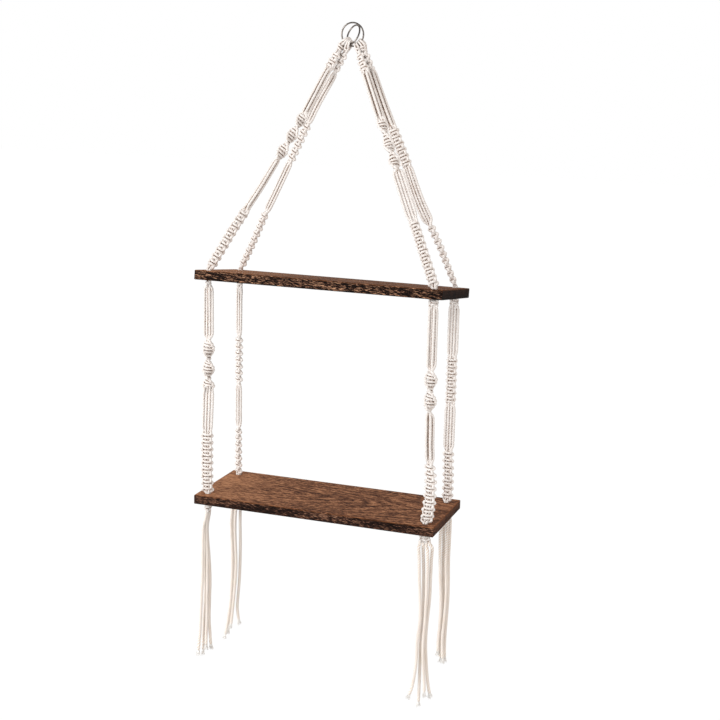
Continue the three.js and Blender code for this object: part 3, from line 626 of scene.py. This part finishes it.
def tierLegSections(corner):
    # the stretch between the boards, which hangs plumb, the lower hole and the last knot below it
    upper = holePlace(corner, upperBoard, -knotDepth)
    lowerHole = holePlace(corner, lowerBoard, 0)
    tier = legFrame(lowerHole, upper)
    span = upper[2] - lowerHole[2]
    tierTurn = turnAbout(tier, corner["tierTurn"])
    top, low = (share * span for share in corner["tierMiddle"])
    if "tierLobes" in corner:
        lobes = [share * span for share in corner["tierLobes"]]
        middle = spiralKnots(tier, top, low + knots["berryLift"], lobes, knots["tierBerrySize"],
                             turnAbout(tier, cameraSettings["yaw"]))
    else:
        middle = squareKnots(tier, top, low, knots["size"], (tierTurn, tierTurn))
    front = holePlace({**corner, "row": -1}, upperBoard, -knotDepth)
    sinnetTop = knots["lowerSinnet"] - (front[2] - upper[2]) + corner["lowRise"]
    faces = [turnAbout(tier, turn) for turn in corner["lowFaces"]]
    lower = squareKnots(tier, sinnetTop, knots["boardFoot"], (corner["lowWidth"], knots["size"][1]), faces,
                        knots["lowPitch"])
    lastTurn = math.radians(corner["tasselTurn"])
    lastSize = knots["lastWidth"], knots["smallThickness"]
    last = squareKnots(tier, knots["lastTop"], knots["lastLow"], lastSize, (lastTurn, lastTurn),
                       knots["smallPitch"])
    ends = []
    for across, drop in strandStarts:
        heights = np.array((knots["strandTop"], -boards["thickness"] - knots["lastDrop"] - drop))
        ends.append(placed(tier, np.full(2, across), np.zeros(2), heights, lastTurn))
    rowTop, rowLow = span + corner["ball"][1] - knots["ballLeave"], sinnetTop + knots["lowMeet"]
    return [
        inNode(5, freeRow(tier, rowTop, top + knots["gather"], tierTurn, corner["rows"][2])),
        inNode(6, middle, 5),
        inNode(7, freeRow(tier, low - knots["gather"], rowLow, tierTurn, corner["rows"][3])),
        inNode(8, lower, 7),
        inNode(8, bundle(tier, *knots["lastBundle"])),
        inNode(8, last),
        inNode(8, {"tracks": ends, "swapped": False, "tight": 1.0}),
    ]


nodeNames = ("ring_sinnet", "upper_strands", "upper_{}", "lower_strands", "upper_board_sinnet",
             "tier_top_strands", "tier_{}", "tier_low_strands", "lower_board_sinnet")
allCords = []


def ownCord(piece, node, body):
    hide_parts(node)
    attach(piece, body)
    allCords.append(piece)


def makeLeg(name, corner, leg):
    tierTop = holePlace(corner, upperBoard, -knotDepth)[2]
    cords = []
    sections = ringLegSections(corner, leg) + holeSections(corner) + tierLegSections(corner)
    for line, owner in runCords(sections):
        share = 1 - (line - leg["origin"]) @ leg["up"] / leg["length"]
        tierShare = (tierTop - line[:, 2]) / (tierTop - lowerBoard["middle"][2])
        aside = bowAt(corner["bow"], share) + bowAt(corner["tierBow"], tierShare)
        cords.append((line + aside[:, None] * np.array((1.0, 0.0, 0.0)), owner))
    bodies = ["upper_tier"] * 5 + [name + "_tier_leg"] * 3 + ["lower_tier"]
    middle = "berry_knots" if "lobes" in corner else "middle_sinnet"
    for number, (ending, body) in enumerate(zip(nodeNames, bodies)):
        node = name + "_" + ending.format(middle)
        ownCord(cordPiece("knotted_" + node, cutCords(cords, number)), node, body)


def makeLoop(name, corner, leg):
    # two cords side by side, each up in front of the wires, over them in an oval and down behind
    radius, front, back, rise = corner["channel"]
    wirePoint, reach, depthAtFoot = leg["wirePoint"], leg["reach"], loopSettings["depth"]
    outer = radius + loopSettings["bendShare"] * loopSettings["cord"]
    bend = np.linspace(np.pi, 0, loopSettings["bendPoints"])
    sideHeight = np.linspace(-reach - loopSettings["footOverlap"], rise, loopSettings["sidePoints"])
    share = ease((sideHeight + reach) / (reach + rise))
    frontDepth = -depthAtFoot + (front - outer + depthAtFoot) * share
    backDepth = depthAtFoot + (back + outer - depthAtFoot) * share
    bendDepth = np.where(bend > np.pi / 2, front, back) + outer * np.cos(bend)
    depth = np.concatenate([frontDepth, bendDepth, backDepth[::-1]])[:, None]
    height = np.concatenate([sideHeight, rise + outer * np.sin(bend), sideHeight[::-1]])[:, None]
    share = ease((height + reach) / (reach - radius))
    cords = []
    for number, run in enumerate((-loopSettings["run"], loopSettings["run"])):
        angle = math.radians(corner["loopAngle"]) + run / largeRadius
        outwards = np.array((math.cos(angle), 0.0, math.sin(angle)))
        onRing = ringCentre + (largeRadius - height) * outwards + depth * np.array((0.0, 1.0, 0.0))
        onLeg = wirePoint + height * leg["up"] + run * leg["across"] + depth * leg["through"]
        line, = respaced(onLeg + (onRing - onLeg) * share, loopSettings["fineStep"])
        line, = respaced(softened(line, loopSettings["spread"]), cordSettings["step"])
        radii = np.full(len(line), loopSettings["cord"] / 2)
        cords.append((line, radii, layTurns(lengthAlong(line)) + number))
    # the first turns of the knots, wound round both cords at the loop's foot
    wrap = loopSettings["wrap"]
    turn = np.linspace(0, 2 * np.pi * corner["wraps"], wrap["points"] * corner["wraps"])[:, None]
    height = -reach + wrap["rise"] + wrap["pitch"] * turn / (2 * np.pi)
    line = (wirePoint + height * leg["up"] + wrap["across"] * np.cos(turn) * leg["across"]
            - wrap["through"] * np.sin(turn) * leg["through"])
    line, = respaced(line, cordSettings["step"])
    cords.append((line, np.full(len(line), wrap["radius"]), layTurns(lengthAlong(line))))
    node = name + "_ring_loop"
    ownCord(cordPiece("cord_" + node, cords), node, "ring_loops")


def smoothRoute(points, spacing):
    # the curve through the points whose parameter grows with the square root of their distances, as in the
    # source
    points = np.array(points, float)
    points = np.concatenate([[2 * points[0] - points[1]], points, [2 * points[-1] - points[-2]]])
    stretchPoints = 40
    knotTimes = np.concatenate([[0], np.cumsum(np.sqrt(np.linalg.norm(np.diff(points, axis=0), axis=1)))])
    line = []
    for i in range(1, len(points) - 2):
        t0, t1, t2, t3 = knotTimes[i - 1:i + 3]
        p0, p1, p2, p3 = points[i - 1:i + 3]
        t = np.linspace(t1, t2, stretchPoints)[:, None]
        a1 = (t1 - t) / (t1 - t0) * p0 + (t - t0) / (t1 - t0) * p1
        a2 = (t2 - t) / (t2 - t1) * p1 + (t - t1) / (t2 - t1) * p2
        a3 = (t3 - t) / (t3 - t2) * p2 + (t - t2) / (t3 - t2) * p3
        b1 = (t2 - t) / (t2 - t0) * a1 + (t - t0) / (t2 - t0) * a2
        b2 = (t3 - t) / (t3 - t1) * a2 + (t - t1) / (t3 - t1) * a3
        line.append(((t2 - t) / (t2 - t1) * b1 + (t - t1) / (t2 - t1) * b2)[:-1])
    line.append(points[-2:-1])
    return respaced(np.concatenate(line), spacing)[0]


tasselSettings = {
    "diameter": 5.4,
    "plumb": 3,
    "wander": {"reach": 0.25, "length": 17, "shift": 2, "start": 30, "way": (0.6, 0.8, 0.0)},
    "neckShare": 0.05, "neckLength": 14, "endShare": 0.8,
    "layShift": 1.3, "unlay": 2.0, "unlayLength": 20,
    "grooveShade": 0.36,
    "fray": 10.0,
    "frayOverlap": 1,
    "fibres": {
        "count": 60, "steps": 6, "width": 0.64, "taper": 0.75, "start": (0.3, 1.7), "finish": (1.2, 4.7),
        "drop": (0.55, 1.0), "curl": 0.9, "spread": 1.4, "root": 2.5, "tone": 0.3,
    },
}


def frayedFibres(line):
    # thin three-sided fibres that leave the last of the rope and spread towards its end
    fibres, fray = tasselSettings["fibres"], tasselSettings["fray"]
    count, steps, sides = fibres["count"], fibres["steps"], 3
    tangent = unit(line[-1] - line[-6])
    across = unit(np.cross(tangent, (0.0, 1.0, 0.0)))
    through = np.cross(across, tangent)
    angle = random.uniform(0, 2 * np.pi, count)[:, None]
    start = random.uniform(*fibres["start"], count)[:, None]
    finish = random.uniform(*fibres["finish"], count)[:, None]
    drop = random.uniform(*fibres["drop"], count)[:, None] * fray
    curl = random.uniform(-fibres["curl"], fibres["curl"], count)[:, None]
    share = np.linspace(0, 1, steps)
    reach = (start + (finish - start) * share ** fibres["spread"])[..., None]
    turned = (angle + curl * share ** 2)[..., None]
    depth = (-fray - fibres["root"] + (drop + fibres["root"]) * share)[..., None]
    centre = line[-1] + depth * tangent + reach * (np.cos(turned) * across + np.sin(turned) * through)
    width = fibres["width"] * (1 - fibres["taper"] * share)
    ring = 2 * np.pi * np.arange(sides)[:, None] / sides
    section = np.cos(ring) * across + np.sin(ring) * through
    vertices = (centre[:, :, None] + width[:, None, None] * section).reshape(-1, 3)
    fibre, row, column = np.meshgrid(np.arange(count), np.arange(steps - 1), np.arange(sides), indexing="ij")
    beside = (column + 1) % sides
    first = (fibre * steps + row) * sides
    quads = np.stack([first + column, first + beside, first + sides + beside, first + sides + column],
                     axis=-1).reshape(-1, 4)
    starts = np.arange(count)[:, None] * steps * sides
    caps = np.concatenate([starts + (2, 1, 0), starts + (steps - 1) * sides + (0, 1, 2)])
    return vertices, quads, caps


def makeTassel(name, corner):
    origin = holePlace(corner, lowerBoard, -boards["thickness"] - knots["lastDrop"])
    lastTurn = math.radians(corner["tasselTurn"])
    wander, tone = tasselSettings["wander"], tasselSettings["fibres"]["tone"]
    diameter = tasselSettings["diameter"]
    for number, (route, (across, drop)) in enumerate(zip(corner["tassel"], strandStarts), 1):
        start = np.array((across * math.cos(lastTurn), across * math.sin(lastTurn), -drop))
        route = (start, start - (0, 0, tasselSettings["plumb"]), *route)
        line = smoothRoute(route, cordSettings["step"]) + origin
        length = lengthAlong(line)[-1]
        rope = line[length - lengthAlong(line) > tasselSettings["fray"] - tasselSettings["frayOverlap"]]
        along = lengthAlong(rope)
        aside = np.sin(along / wander["length"] + number * wander["shift"]) * wander["reach"]
        rope = rope + (aside * ease(along / wander["start"]))[:, None] * np.array(wander["way"])
        neck = tasselSettings["neckShare"] * (1 - ease(along / tasselSettings["neckLength"]))
        radii = diameter / 2 * (1 - neck)
        radii[-1] *= tasselSettings["endShare"]
        opened = ease((along - along[-1]) / tasselSettings["unlayLength"] + 1)
        turns = layTurns(along) + number * tasselSettings["layShift"] - tasselSettings["unlay"] * opened
        tube = cordTube(rope, radii, turns)
        fibres, quads, caps = frayedFibres(line)
        shift = len(tube["vertices"])
        faces = [tube["quads"], quads + shift, tube["caps"], caps + shift]
        pattern = np.concatenate([tube["quadPattern"], np.full((quads.size, 2), tone),
                                  tube["capPattern"], np.full((caps.size, 2), tone)])
        groove = np.concatenate([tube["groove"], np.zeros(len(fibres))])
        # painted shade in the grooves between the plies
        marks = {"groove": groove, "crowded": tasselSettings["grooveShade"] * groove ** 2}
        node = "{}_tassel_strand_{}".format(name, number)
        piece = makeMesh("rope_" + node, np.concatenate([tube["vertices"], fibres]), faces, pattern, marks)
        ownCord(piece, node, name + "_tassel")
        line[0] * mm
        line * mm


for cornerName, cornerValues in corners.items():
    makeTassel(cornerName, cornerValues)
print("tassels made")
for cornerName, cornerValues in corners.items():
    cornerLeg = ringLeg(cornerValues)
    makeLeg(cornerName, cornerValues, cornerLeg)
    makeLoop(cornerName, cornerValues, cornerLeg)
    print(cornerName, "leg made")


# rings


def ringPiece(name, node, body, centre, across, up, radius):
    # a circle carried round a larger circle
    longSteps, shortSteps = rings["stepsAround"], rings["stepsAbout"]
    around = 2 * np.pi * np.arange(longSteps)[:, None, None] / longSteps
    about = 2 * np.pi * np.arange(shortSteps)[:, None] / shortSteps
    half = rings["wire"] / 2
    outwards = np.cos(around) * across + np.sin(around) * up
    section = half * np.sin(about) * np.cross(across, up)
    vertices = (centre + (radius + half * np.cos(about)) * outwards + section).reshape(-1, 3)
    row, column = np.meshgrid(np.arange(longSteps), np.arange(shortSteps), indexing="ij")
    after, beside = (row + 1) % longSteps, (column + 1) % shortSteps
    quads = np.stack([row * shortSteps + column, after * shortSteps + column, after * shortSteps + beside,
                      row * shortSteps + beside], axis=-1)
    piece = makeMesh(name, vertices, [quads.reshape(-1, 4)])
    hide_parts(node)
    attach(piece, body)
    return piece


heel, ringTurn = math.radians(rings["heel"]), math.radians(-rings["turn"])
heeled = np.array(Matrix.Rotation(heel, 3, "Y") @ Matrix.Rotation(ringTurn, 3, "Z"))
steelRings = [
    ringPiece("steel_large_ring", "large_hanging_ring", "large_ring", ringCentre,
              np.array((1.0, 0.0, 0.0)), np.array((0.0, 0.0, 1.0)), largeRadius),
    ringPiece("steel_small_ring", "small_hanging_ring", "ring_loops", ringCentre + (0, rings["setBack"], 0),
              heeled[:, 0], heeled[:, 2], smallRadius),
]
print("rings made")

# materials


class Shade:
    # a socket that can be reckoned with; node() adds any other node

    def __init__(self, tree, socket=None):
        self.tree, self.socket = tree, socket

    def node(self, kind, settings=None, values=None, output=0):
        made = self.tree.nodes.new(kind)
        for key, value in (settings or {}).items():
            if key == "stops":
                ramp = made.color_ramp
                while len(ramp.elements) < len(value):
                    ramp.elements.new(0.5)
                for element, (place, colour) in zip(ramp.elements, value):
                    element.position, element.color = place, colour
            else:
                setattr(made, key, value)
        for key, value in (values or {}).items():
            if isinstance(value, Shade):
                self.tree.links.new(value.socket, made.inputs[key])
            else:
                made.inputs[key].default_value = value
        return Shade(self.tree, made.outputs[output])

    def maths(self, operation, *values):
        return self.node("ShaderNodeMath", {"operation": operation}, dict(enumerate(values)))

    def __add__(self, other):
        return self.maths("ADD", self, other)

    def __radd__(self, other):
        return self.maths("ADD", other, self)

    def __sub__(self, other):
        return self.maths("SUBTRACT", self, other)

    def __rsub__(self, other):
        return self.maths("SUBTRACT", other, self)

    def __mul__(self, other):
        return self.maths("MULTIPLY", self, other)

    def __rmul__(self, other):
        return self.maths("MULTIPLY", other, self)

    def within(self, low, high):
        # 0 below low and 1 above high, or the other way round
        return self.node("ShaderNodeMapRange", {"interpolation_type": "SMOOTHSTEP"},
                         {"Value": self, "From Min": low, "From Max": high})

    def parts(self):
        # a vector's three numbers
        split = self.node("ShaderNodeSeparateXYZ", None, {0: self})
        return [Shade(self.tree, socket) for socket in split.socket.node.outputs]

    def mixed(self, first, second):
        # this value as the share of the second colour
        return self.node("ShaderNodeMix", {"data_type": "RGBA"}, {0: self, 6: first, 7: second}, 2)

    def toned(self, brightness):
        # this colour times a grey
        return self.node("ShaderNodeMix", {"data_type": "RGBA", "blend_type": "MULTIPLY"},
                         {0: 1.0, 6: self, 7: (brightness,) * 3 + (1.0,)}, 2)

    def stretched(self, scale, place=(0, 0, 0)):
        return self.node("ShaderNodeMapping", {"vector_type": "POINT"},
                         {"Vector": self, "Scale": scale, "Location": place})

    def noise(self, scale, detail, roughness=0.5):
        return self.node("ShaderNodeTexNoise", None,
                         {"Vector": self, "Scale": scale, "Detail": detail, "Roughness": roughness})

    def ramp(self, *stops):
        return self.node("ShaderNodeValToRGB", {"stops": stops}, {"Fac": self})

    def bump(self, strength, distance):
        return self.node("ShaderNodeBump", None, {"Strength": strength, "Distance": distance, "Height": self})


def colour(code):
    # a colour as it is seen, made linear
    seen = np.array([int(code[i:i + 2], 16) / 255 for i in (1, 3, 5)])
    linear = np.where(seen <= 0.04045, seen / 12.92, ((seen + 0.055) / 1.055) ** 2.4)
    return (*linear, 1.0)


def newMaterial(name):
    material = bpy.data.materials.new(name)
    material.use_nodes = True
    return material, Shade(material.node_tree), material.node_tree.nodes["Principled BSDF"]


def feed(shade, shader, name):
    shade.tree.links.new(shade.socket, shader.inputs[name])


# one cotton in two copies: the knotted one is darker than the hanging one as painted shade in the knots, and
# the shadow and deep colours of both are painted shade
cottonSettings = {
    "knotted": {"cream": colour("#f3eeea"), "shadow": colour("#b2957f"), "deepShade": colour("#543829")},
    "hanging": {"cream": colour("#fffdfa"), "shadow": colour("#e6ceb6"), "deepShade": colour("#a07c5c")},
}
cottonWeave = {
    "fibres": ((36, 0.35, 1), 3, 0.6), "mottle": (90, 2),  # the noise's scale, detail and roughness
    "grooveShadeWeight": 0.14, "fibreTone": 0.25, "mottleTone": 0.2,
    "shadeAndMottleRange": (0.05, 0.46), "grooveDeepShade": 0.1, "deepShadeRange": (0.33, 0.76),
    "bump": (0.35, 0.0003), "grooveBump": 0.2,
}
cottonSurface = {"Roughness": 0.92, "Specular IOR Level": 0.2, "Sheen Weight": 0.25, "Sheen Roughness": 0.6}


def makeCotton(name, settings, weave):
    material, shade, shader = newMaterial(name + "Cotton")
    groove = shade.node("ShaderNodeAttribute", {"attribute_name": "groove"}, output=2)
    crowded = shade.node("ShaderNodeAttribute", {"attribute_name": "crowded"}, output=2)
    pattern = shade.node("ShaderNodeUVMap", {"uv_map": "cordPattern"})
    fibreScale, *fibreDetail = weave["fibres"]
    fibres = pattern.stretched(fibreScale).noise(1, *fibreDetail)
    mottle = shade.node("ShaderNodeTexCoord", output=3).noise(*weave["mottle"])
    marks = (fibres - 0.5) * weave["fibreTone"] + (mottle - 0.5) * weave["mottleTone"]
    # painted shade: darker in the grooves between plies and where other cords crowd close, shifted by random
    # fibre and mottle tone
    shadeAndMottle = (groove * weave["grooveShadeWeight"] + crowded + marks).within(*weave["shadeAndMottleRange"])
    # painted deep shade where cords crowd closest and in the grooves
    deepShade = (crowded + groove * weave["grooveDeepShade"]).within(*weave["deepShadeRange"])
    surface = shadeAndMottle.mixed(settings["cream"], settings["shadow"])
    feed(deepShade.mixed(surface, settings["deepShade"]), shader, "Base Color")
    feed((fibres - groove * weave["grooveBump"]).bump(*weave["bump"]), shader, "Normal")
    for key, value in cottonSurface.items():
        shader.inputs[key].default_value = value
    return material


steelSettings = {"colour": colour("#8f8882"), "scuffs": (420, 3), "scuffed": 0.14, "roughness": 0.09}


def makeSteel(settings):
    material, shade, shader = newMaterial("polishedSteel")
    scuffs = shade.node("ShaderNodeTexCoord", output=3).noise(*settings["scuffs"])
    shader.inputs["Base Color"].default_value = settings["colour"]
    shader.inputs["Metallic"].default_value = 1
    feed(scuffs * settings["scuffed"] + settings["roughness"], shader, "Roughness")
    return material


woodSettings = {
    # the upper board's low endBright is painted shade on its end faces
    "upper_board": {
        "middle": upperBoard["middle"] * mm, "lean": -lean, "seed": 3.0, "bright": 0.9, "endBright": 0.2,
        "edgeTone": 0.25, "edgeContrast": 5.2, "arch": 0.05, "archHeight": 0.05,
    },
    "lower_board": {
        "middle": lowerBoard["middle"] * mm, "lean": 0.0, "seed": 11.0, "bright": 1.02, "endBright": 0.9,
        "edgeTone": 0.33, "edgeContrast": 2.8, "arch": 0.16, "archHeight": 0.036,
    },
}
woodColours = {
    "top": ((0.05, colour("#38211a")), (0.36, colour("#68432f")), (0.62, colour("#8a5d44")),
            (0.98, colour("#bb8661"))),
    "edge": ((0.1, colour("#120a08")), (0.42, colour("#2e1d17")), (0.66, colour("#7a5442")),
             (1.0, colour("#c79a78"))),
    "end": (colour("#2e1d17"), colour("#68432f")),
    "under": colour("#120a08"),
    "worn": colour("#a8683c"),
}
# noise stretched along the board: its scale along, across and up, its detail, its roughness and its place
woodStreaks = {
    "wobble": ((5, 26, 26), 2, 0.55, 0.0),
    "fine": ((120, 520, 900), 3, 0.7, 3.1),
    "broad": ((8, 45, 90), 3, 0.5, 6.2),
    "pores": ((260, 900, 1500), 2, 0.6, 9.3),
    "patches": ((11, 20, 60), 2, 0.5, 15.5),
    "ends": ((160, 60, 420), 3, 0.6, 21.0),
}
woodFigure = {
    "wobbleHeight": 0.02, "ringRate": 900, "ringWobble": 7,
    "ring": 0.17, "fine": 3.3, "broad": 0.7, "pores": 1.2, "level": 0.46,
    "leftRange": (-0.02, -0.2), "leftLight": 0.36,
    "slant": 0.12, "bold": ((130, 300, 1150), 3, 0.66), "patches": 0.8,
    "endContrast": 2.4, "endFall": 30, "endLevel": 0.75, "endRange": (0.1, 1.0),
    "faceBand": (0.0011, 0.0004), "rimBand": (0.0030, 0.0014), "topBand": (0.0020, 0.0004),
    "wornRange": (0.35, 0.6), "worn": 0.35, "under": 0.85,
    "fineRough": 0.25, "poreRough": 0.15, "rough": 0.5,
    "fineBump": 0.6, "poreBump": 0.4, "boldBump": 0.5, "bump": (0.4, 0.0004), "specular": 0.06,
}


def makeWood(name, settings, figure):
    material, shade, shader = newMaterial(name + "_wood")
    moved = shade.node("ShaderNodeMapping", {"vector_type": "TEXTURE"}, {
        "Vector": shade.node("ShaderNodeTexCoord", output=3), "Location": tuple(settings["middle"]),
        "Rotation": (settings["lean"], 0, 0)})
    x, y, z = moved.parts()
    seed = settings["seed"]
    # each kind of streak starts at another place in the noise, and at another again on each board
    streaks = {}
    for key, (scale, detail, roughness, shift) in woodStreaks.items():
        place = (seed + shift, seed * 1.7 + shift, seed * 0.6)
        streaks[key] = moved.stretched(scale, place).noise(1, detail, roughness)

    # growth rings: cones about a line that runs along the board, whose radius is wobbled by stretched noise
    wobble = streaks["wobble"] - 0.5
    height = z + settings["archHeight"] + x * settings["arch"] + wobble * figure["wobbleHeight"]
    radius = shade.maths("SQRT", y * y + height * height)
    ringWave = shade.maths("SINE", radius * figure["ringRate"] + wobble * figure["ringWobble"])
    grain = ringWave * figure["ring"] + figure["level"]
    for key in ("fine", "broad", "pores"):
        grain = grain + (streaks[key] - 0.5) * figure[key]
    # painted light: the top lighter towards the board's left end, where the light falls from the left
    grain = grain + x.within(*figure["leftRange"]) * figure["leftLight"]
    base = grain.ramp(*woodColours["top"])

    # the long sides show the sawn edge of the figure: black and orange streaks that run a little aslant
    slant = shade.node("ShaderNodeCombineXYZ", None, {0: x, 1: y, 2: z + x * figure["slant"]})
    boldScale, *boldDetail = figure["bold"]
    bold = slant.stretched(boldScale, (seed, seed * 2.3, 1.7)).noise(1, *boldDetail)
    edgeGrain = (bold - 0.5) * settings["edgeContrast"] + (streaks["patches"] - 0.5) * figure["patches"]
    sideWood = (edgeGrain + settings["edgeTone"]).ramp(*woodColours["edge"])
    # the end faces show end grain, lighter towards the top; endBright darkens them, on the upper board far
    # down, as painted shade where its end faces away from the light
    endGrain = (streaks["ends"] - 0.5) * figure["endContrast"] + z * figure["endFall"] + figure["endLevel"]
    endWood = endGrain.within(*figure["endRange"]).mixed(*woodColours["end"]).toned(settings["endBright"])

    def nearLimit(distance, limit, band):
        return distance.within(limit - band[0], limit - band[1])

    halfDepth, halfLength = boards["depth"] / 2 * mm, boards["length"] / 2 * mm
    fromMiddle, fromCentre = shade.maths("ABSOLUTE", y), shade.maths("ABSOLUTE", x)
    base = nearLimit(fromMiddle, halfDepth, figure["faceBand"]).mixed(base, sideWood)
    base = nearLimit(fromCentre, halfLength, figure["faceBand"]).mixed(base, endWood)
    under = nearLimit(0 - z, boards["thickness"] * mm, figure["faceBand"])
    base = (under * figure["under"]).mixed(base, woodColours["under"])
    # the arrises are rubbed lighter along the top, and the lower ones are dark
    rim = shade.maths("MAXIMUM", nearLimit(fromMiddle, halfDepth, figure["rimBand"]),
                      nearLimit(fromCentre, halfLength, figure["rimBand"]))
    worn = (0 - z).within(*figure["topBand"]) * rim * streaks["fine"].within(*figure["wornRange"])
    base = (worn * figure["worn"]).mixed(base, woodColours["worn"])
    feed(base.toned(settings["bright"]), shader, "Base Color")
    roughness = streaks["fine"] * figure["fineRough"] + streaks["pores"] * figure["poreRough"]
    feed(roughness + figure["rough"], shader, "Roughness")
    relief = streaks["fine"] * figure["fineBump"] + streaks["pores"] * figure["poreBump"]
    feed((relief + bold * figure["boldBump"]).bump(*figure["bump"]), shader, "Normal")
    shader.inputs["Specular IOR Level"].default_value = figure["specular"]
    return material


# the strands of the tassels come first among the cords
strandCount = sum(len(cornerValues["tassel"]) for cornerValues in corners.values())
for cottonName, pieces in (("hanging", allCords[:strandCount]), ("knotted", allCords[strandCount:])):
    cotton = makeCotton(cottonName, cottonSettings[cottonName], cottonWeave)
    for piece in pieces:
        piece.data.materials.append(cotton)
steel = makeSteel(steelSettings)
for piece in steelRings:
    piece.data.materials.append(steel)
for nodeName, values in woodSettings.items():
    wood = makeWood(nodeName, values, woodFigure)
    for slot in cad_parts[nodeName].material_slots:
        slot.material = wood
print("materials made")

# floor, lights and background

studio = {
    "floor": {"level": -1.45, "reach": 14, "grey": (0.85, 0.85, 0.85, 1), "roughness": 0.9, "glow": 1.06,
              "glowShare": 0.9},
    "lamps": {"keyLamp": ((-1.9, -2.1, 0.2), 1.6, 47), "fillLamp": ((2.2, -1.6, 0.2), 1.8, 12)},
    "target": (0, 0, -0.5),
    "world": 0.78, "ambientRange": (-0.6, 0.9), "ambientLow": 0.9,
    "mirrorRange": (-0.5, 0.35), "mirrorLow": 0.06, "mirrorRise": 0.5,
    "warmRange": (0.0, 0.8), "warm": (0.95, 0.85, 0.77, 1),
}


def makeFloor(settings):
    mesh = bpy.data.meshes.new("floor")
    far, level = settings["reach"], settings["level"]
    corners = [(-far, -far, level), (far, -far, level), (far, far, level), (-far, far, level)]
    mesh.from_pydata(corners, [], [(0, 1, 2, 3)])
    floor = bpy.data.objects.new("floor", mesh)
    scene.collection.objects.link(floor)
    material, shade, shader = newMaterial("whiteFloor")
    shader.inputs["Base Color"].default_value = settings["grey"]
    shader.inputs["Roughness"].default_value = settings["roughness"]
    white = shade.node("ShaderNodeEmission", None, {"Color": (1, 1, 1, 1), "Strength": settings["glow"]})
    camera = shade.node("ShaderNodeLightPath", output=0)
    lit = Shade(shade.tree, shader.outputs[0])
    both = shade.node("ShaderNodeMixShader", None, {0: camera * settings["glowShare"], 1: lit, 2: white})
    feed(both, material.node_tree.nodes["Material Output"], "Surface")
    mesh.materials.append(material)


def makeLamp(name, place, size, power):
    lamp = bpy.data.lights.new(name, "AREA")
    lamp.shape, lamp.size, lamp.energy = "DISK", size, power
    lampObject = bpy.data.objects.new(name, lamp)
    scene.collection.objects.link(lampObject)
    back = unit(np.array(place) - np.array(studio["target"]))
    side = unit(np.cross((0.0, 0.0, 1.0), back))
    turn = Matrix((side, np.cross(back, side), back)).transposed()
    lampObject.matrix_world = Matrix.Translation(place) @ turn.to_4x4()


def makeWorld(settings):
    world = bpy.data.worlds.new("studioWorld")
    scene.world = world
    world.use_nodes = True
    shade = Shade(world.node_tree)
    background = world.node_tree.nodes["Background"]
    x, y, z = shade.node("ShaderNodeTexCoord", output=0).parts()
    camera = shade.node("ShaderNodeLightPath", output=0)
    glossy = shade.node("ShaderNodeLightPath", output=3)
    # the light from the right is warm, as from a room
    warmth = x.within(*settings["warmRange"]) * (1.0 - camera) * (1.0 - glossy)
    feed(warmth.mixed((1, 1, 1, 1), settings["warm"]), background, "Color")
    ambientLow = settings["ambientLow"]
    ambient = z.within(*settings["ambientRange"]) * (1 - ambientLow) + ambientLow
    mirror = y.within(*settings["mirrorRange"]) * settings["mirrorRise"] + settings["mirrorLow"]
    plain = ambient * settings["world"]
    strength = plain + glossy * (mirror - plain)
    feed(strength + camera * (1.0 - strength), background, "Strength")


makeFloor(studio["floor"])
for lampName, lampValues in studio["lamps"].items():
    makeLamp(lampName, *lampValues)
makeWorld(studio)
print("studio made")
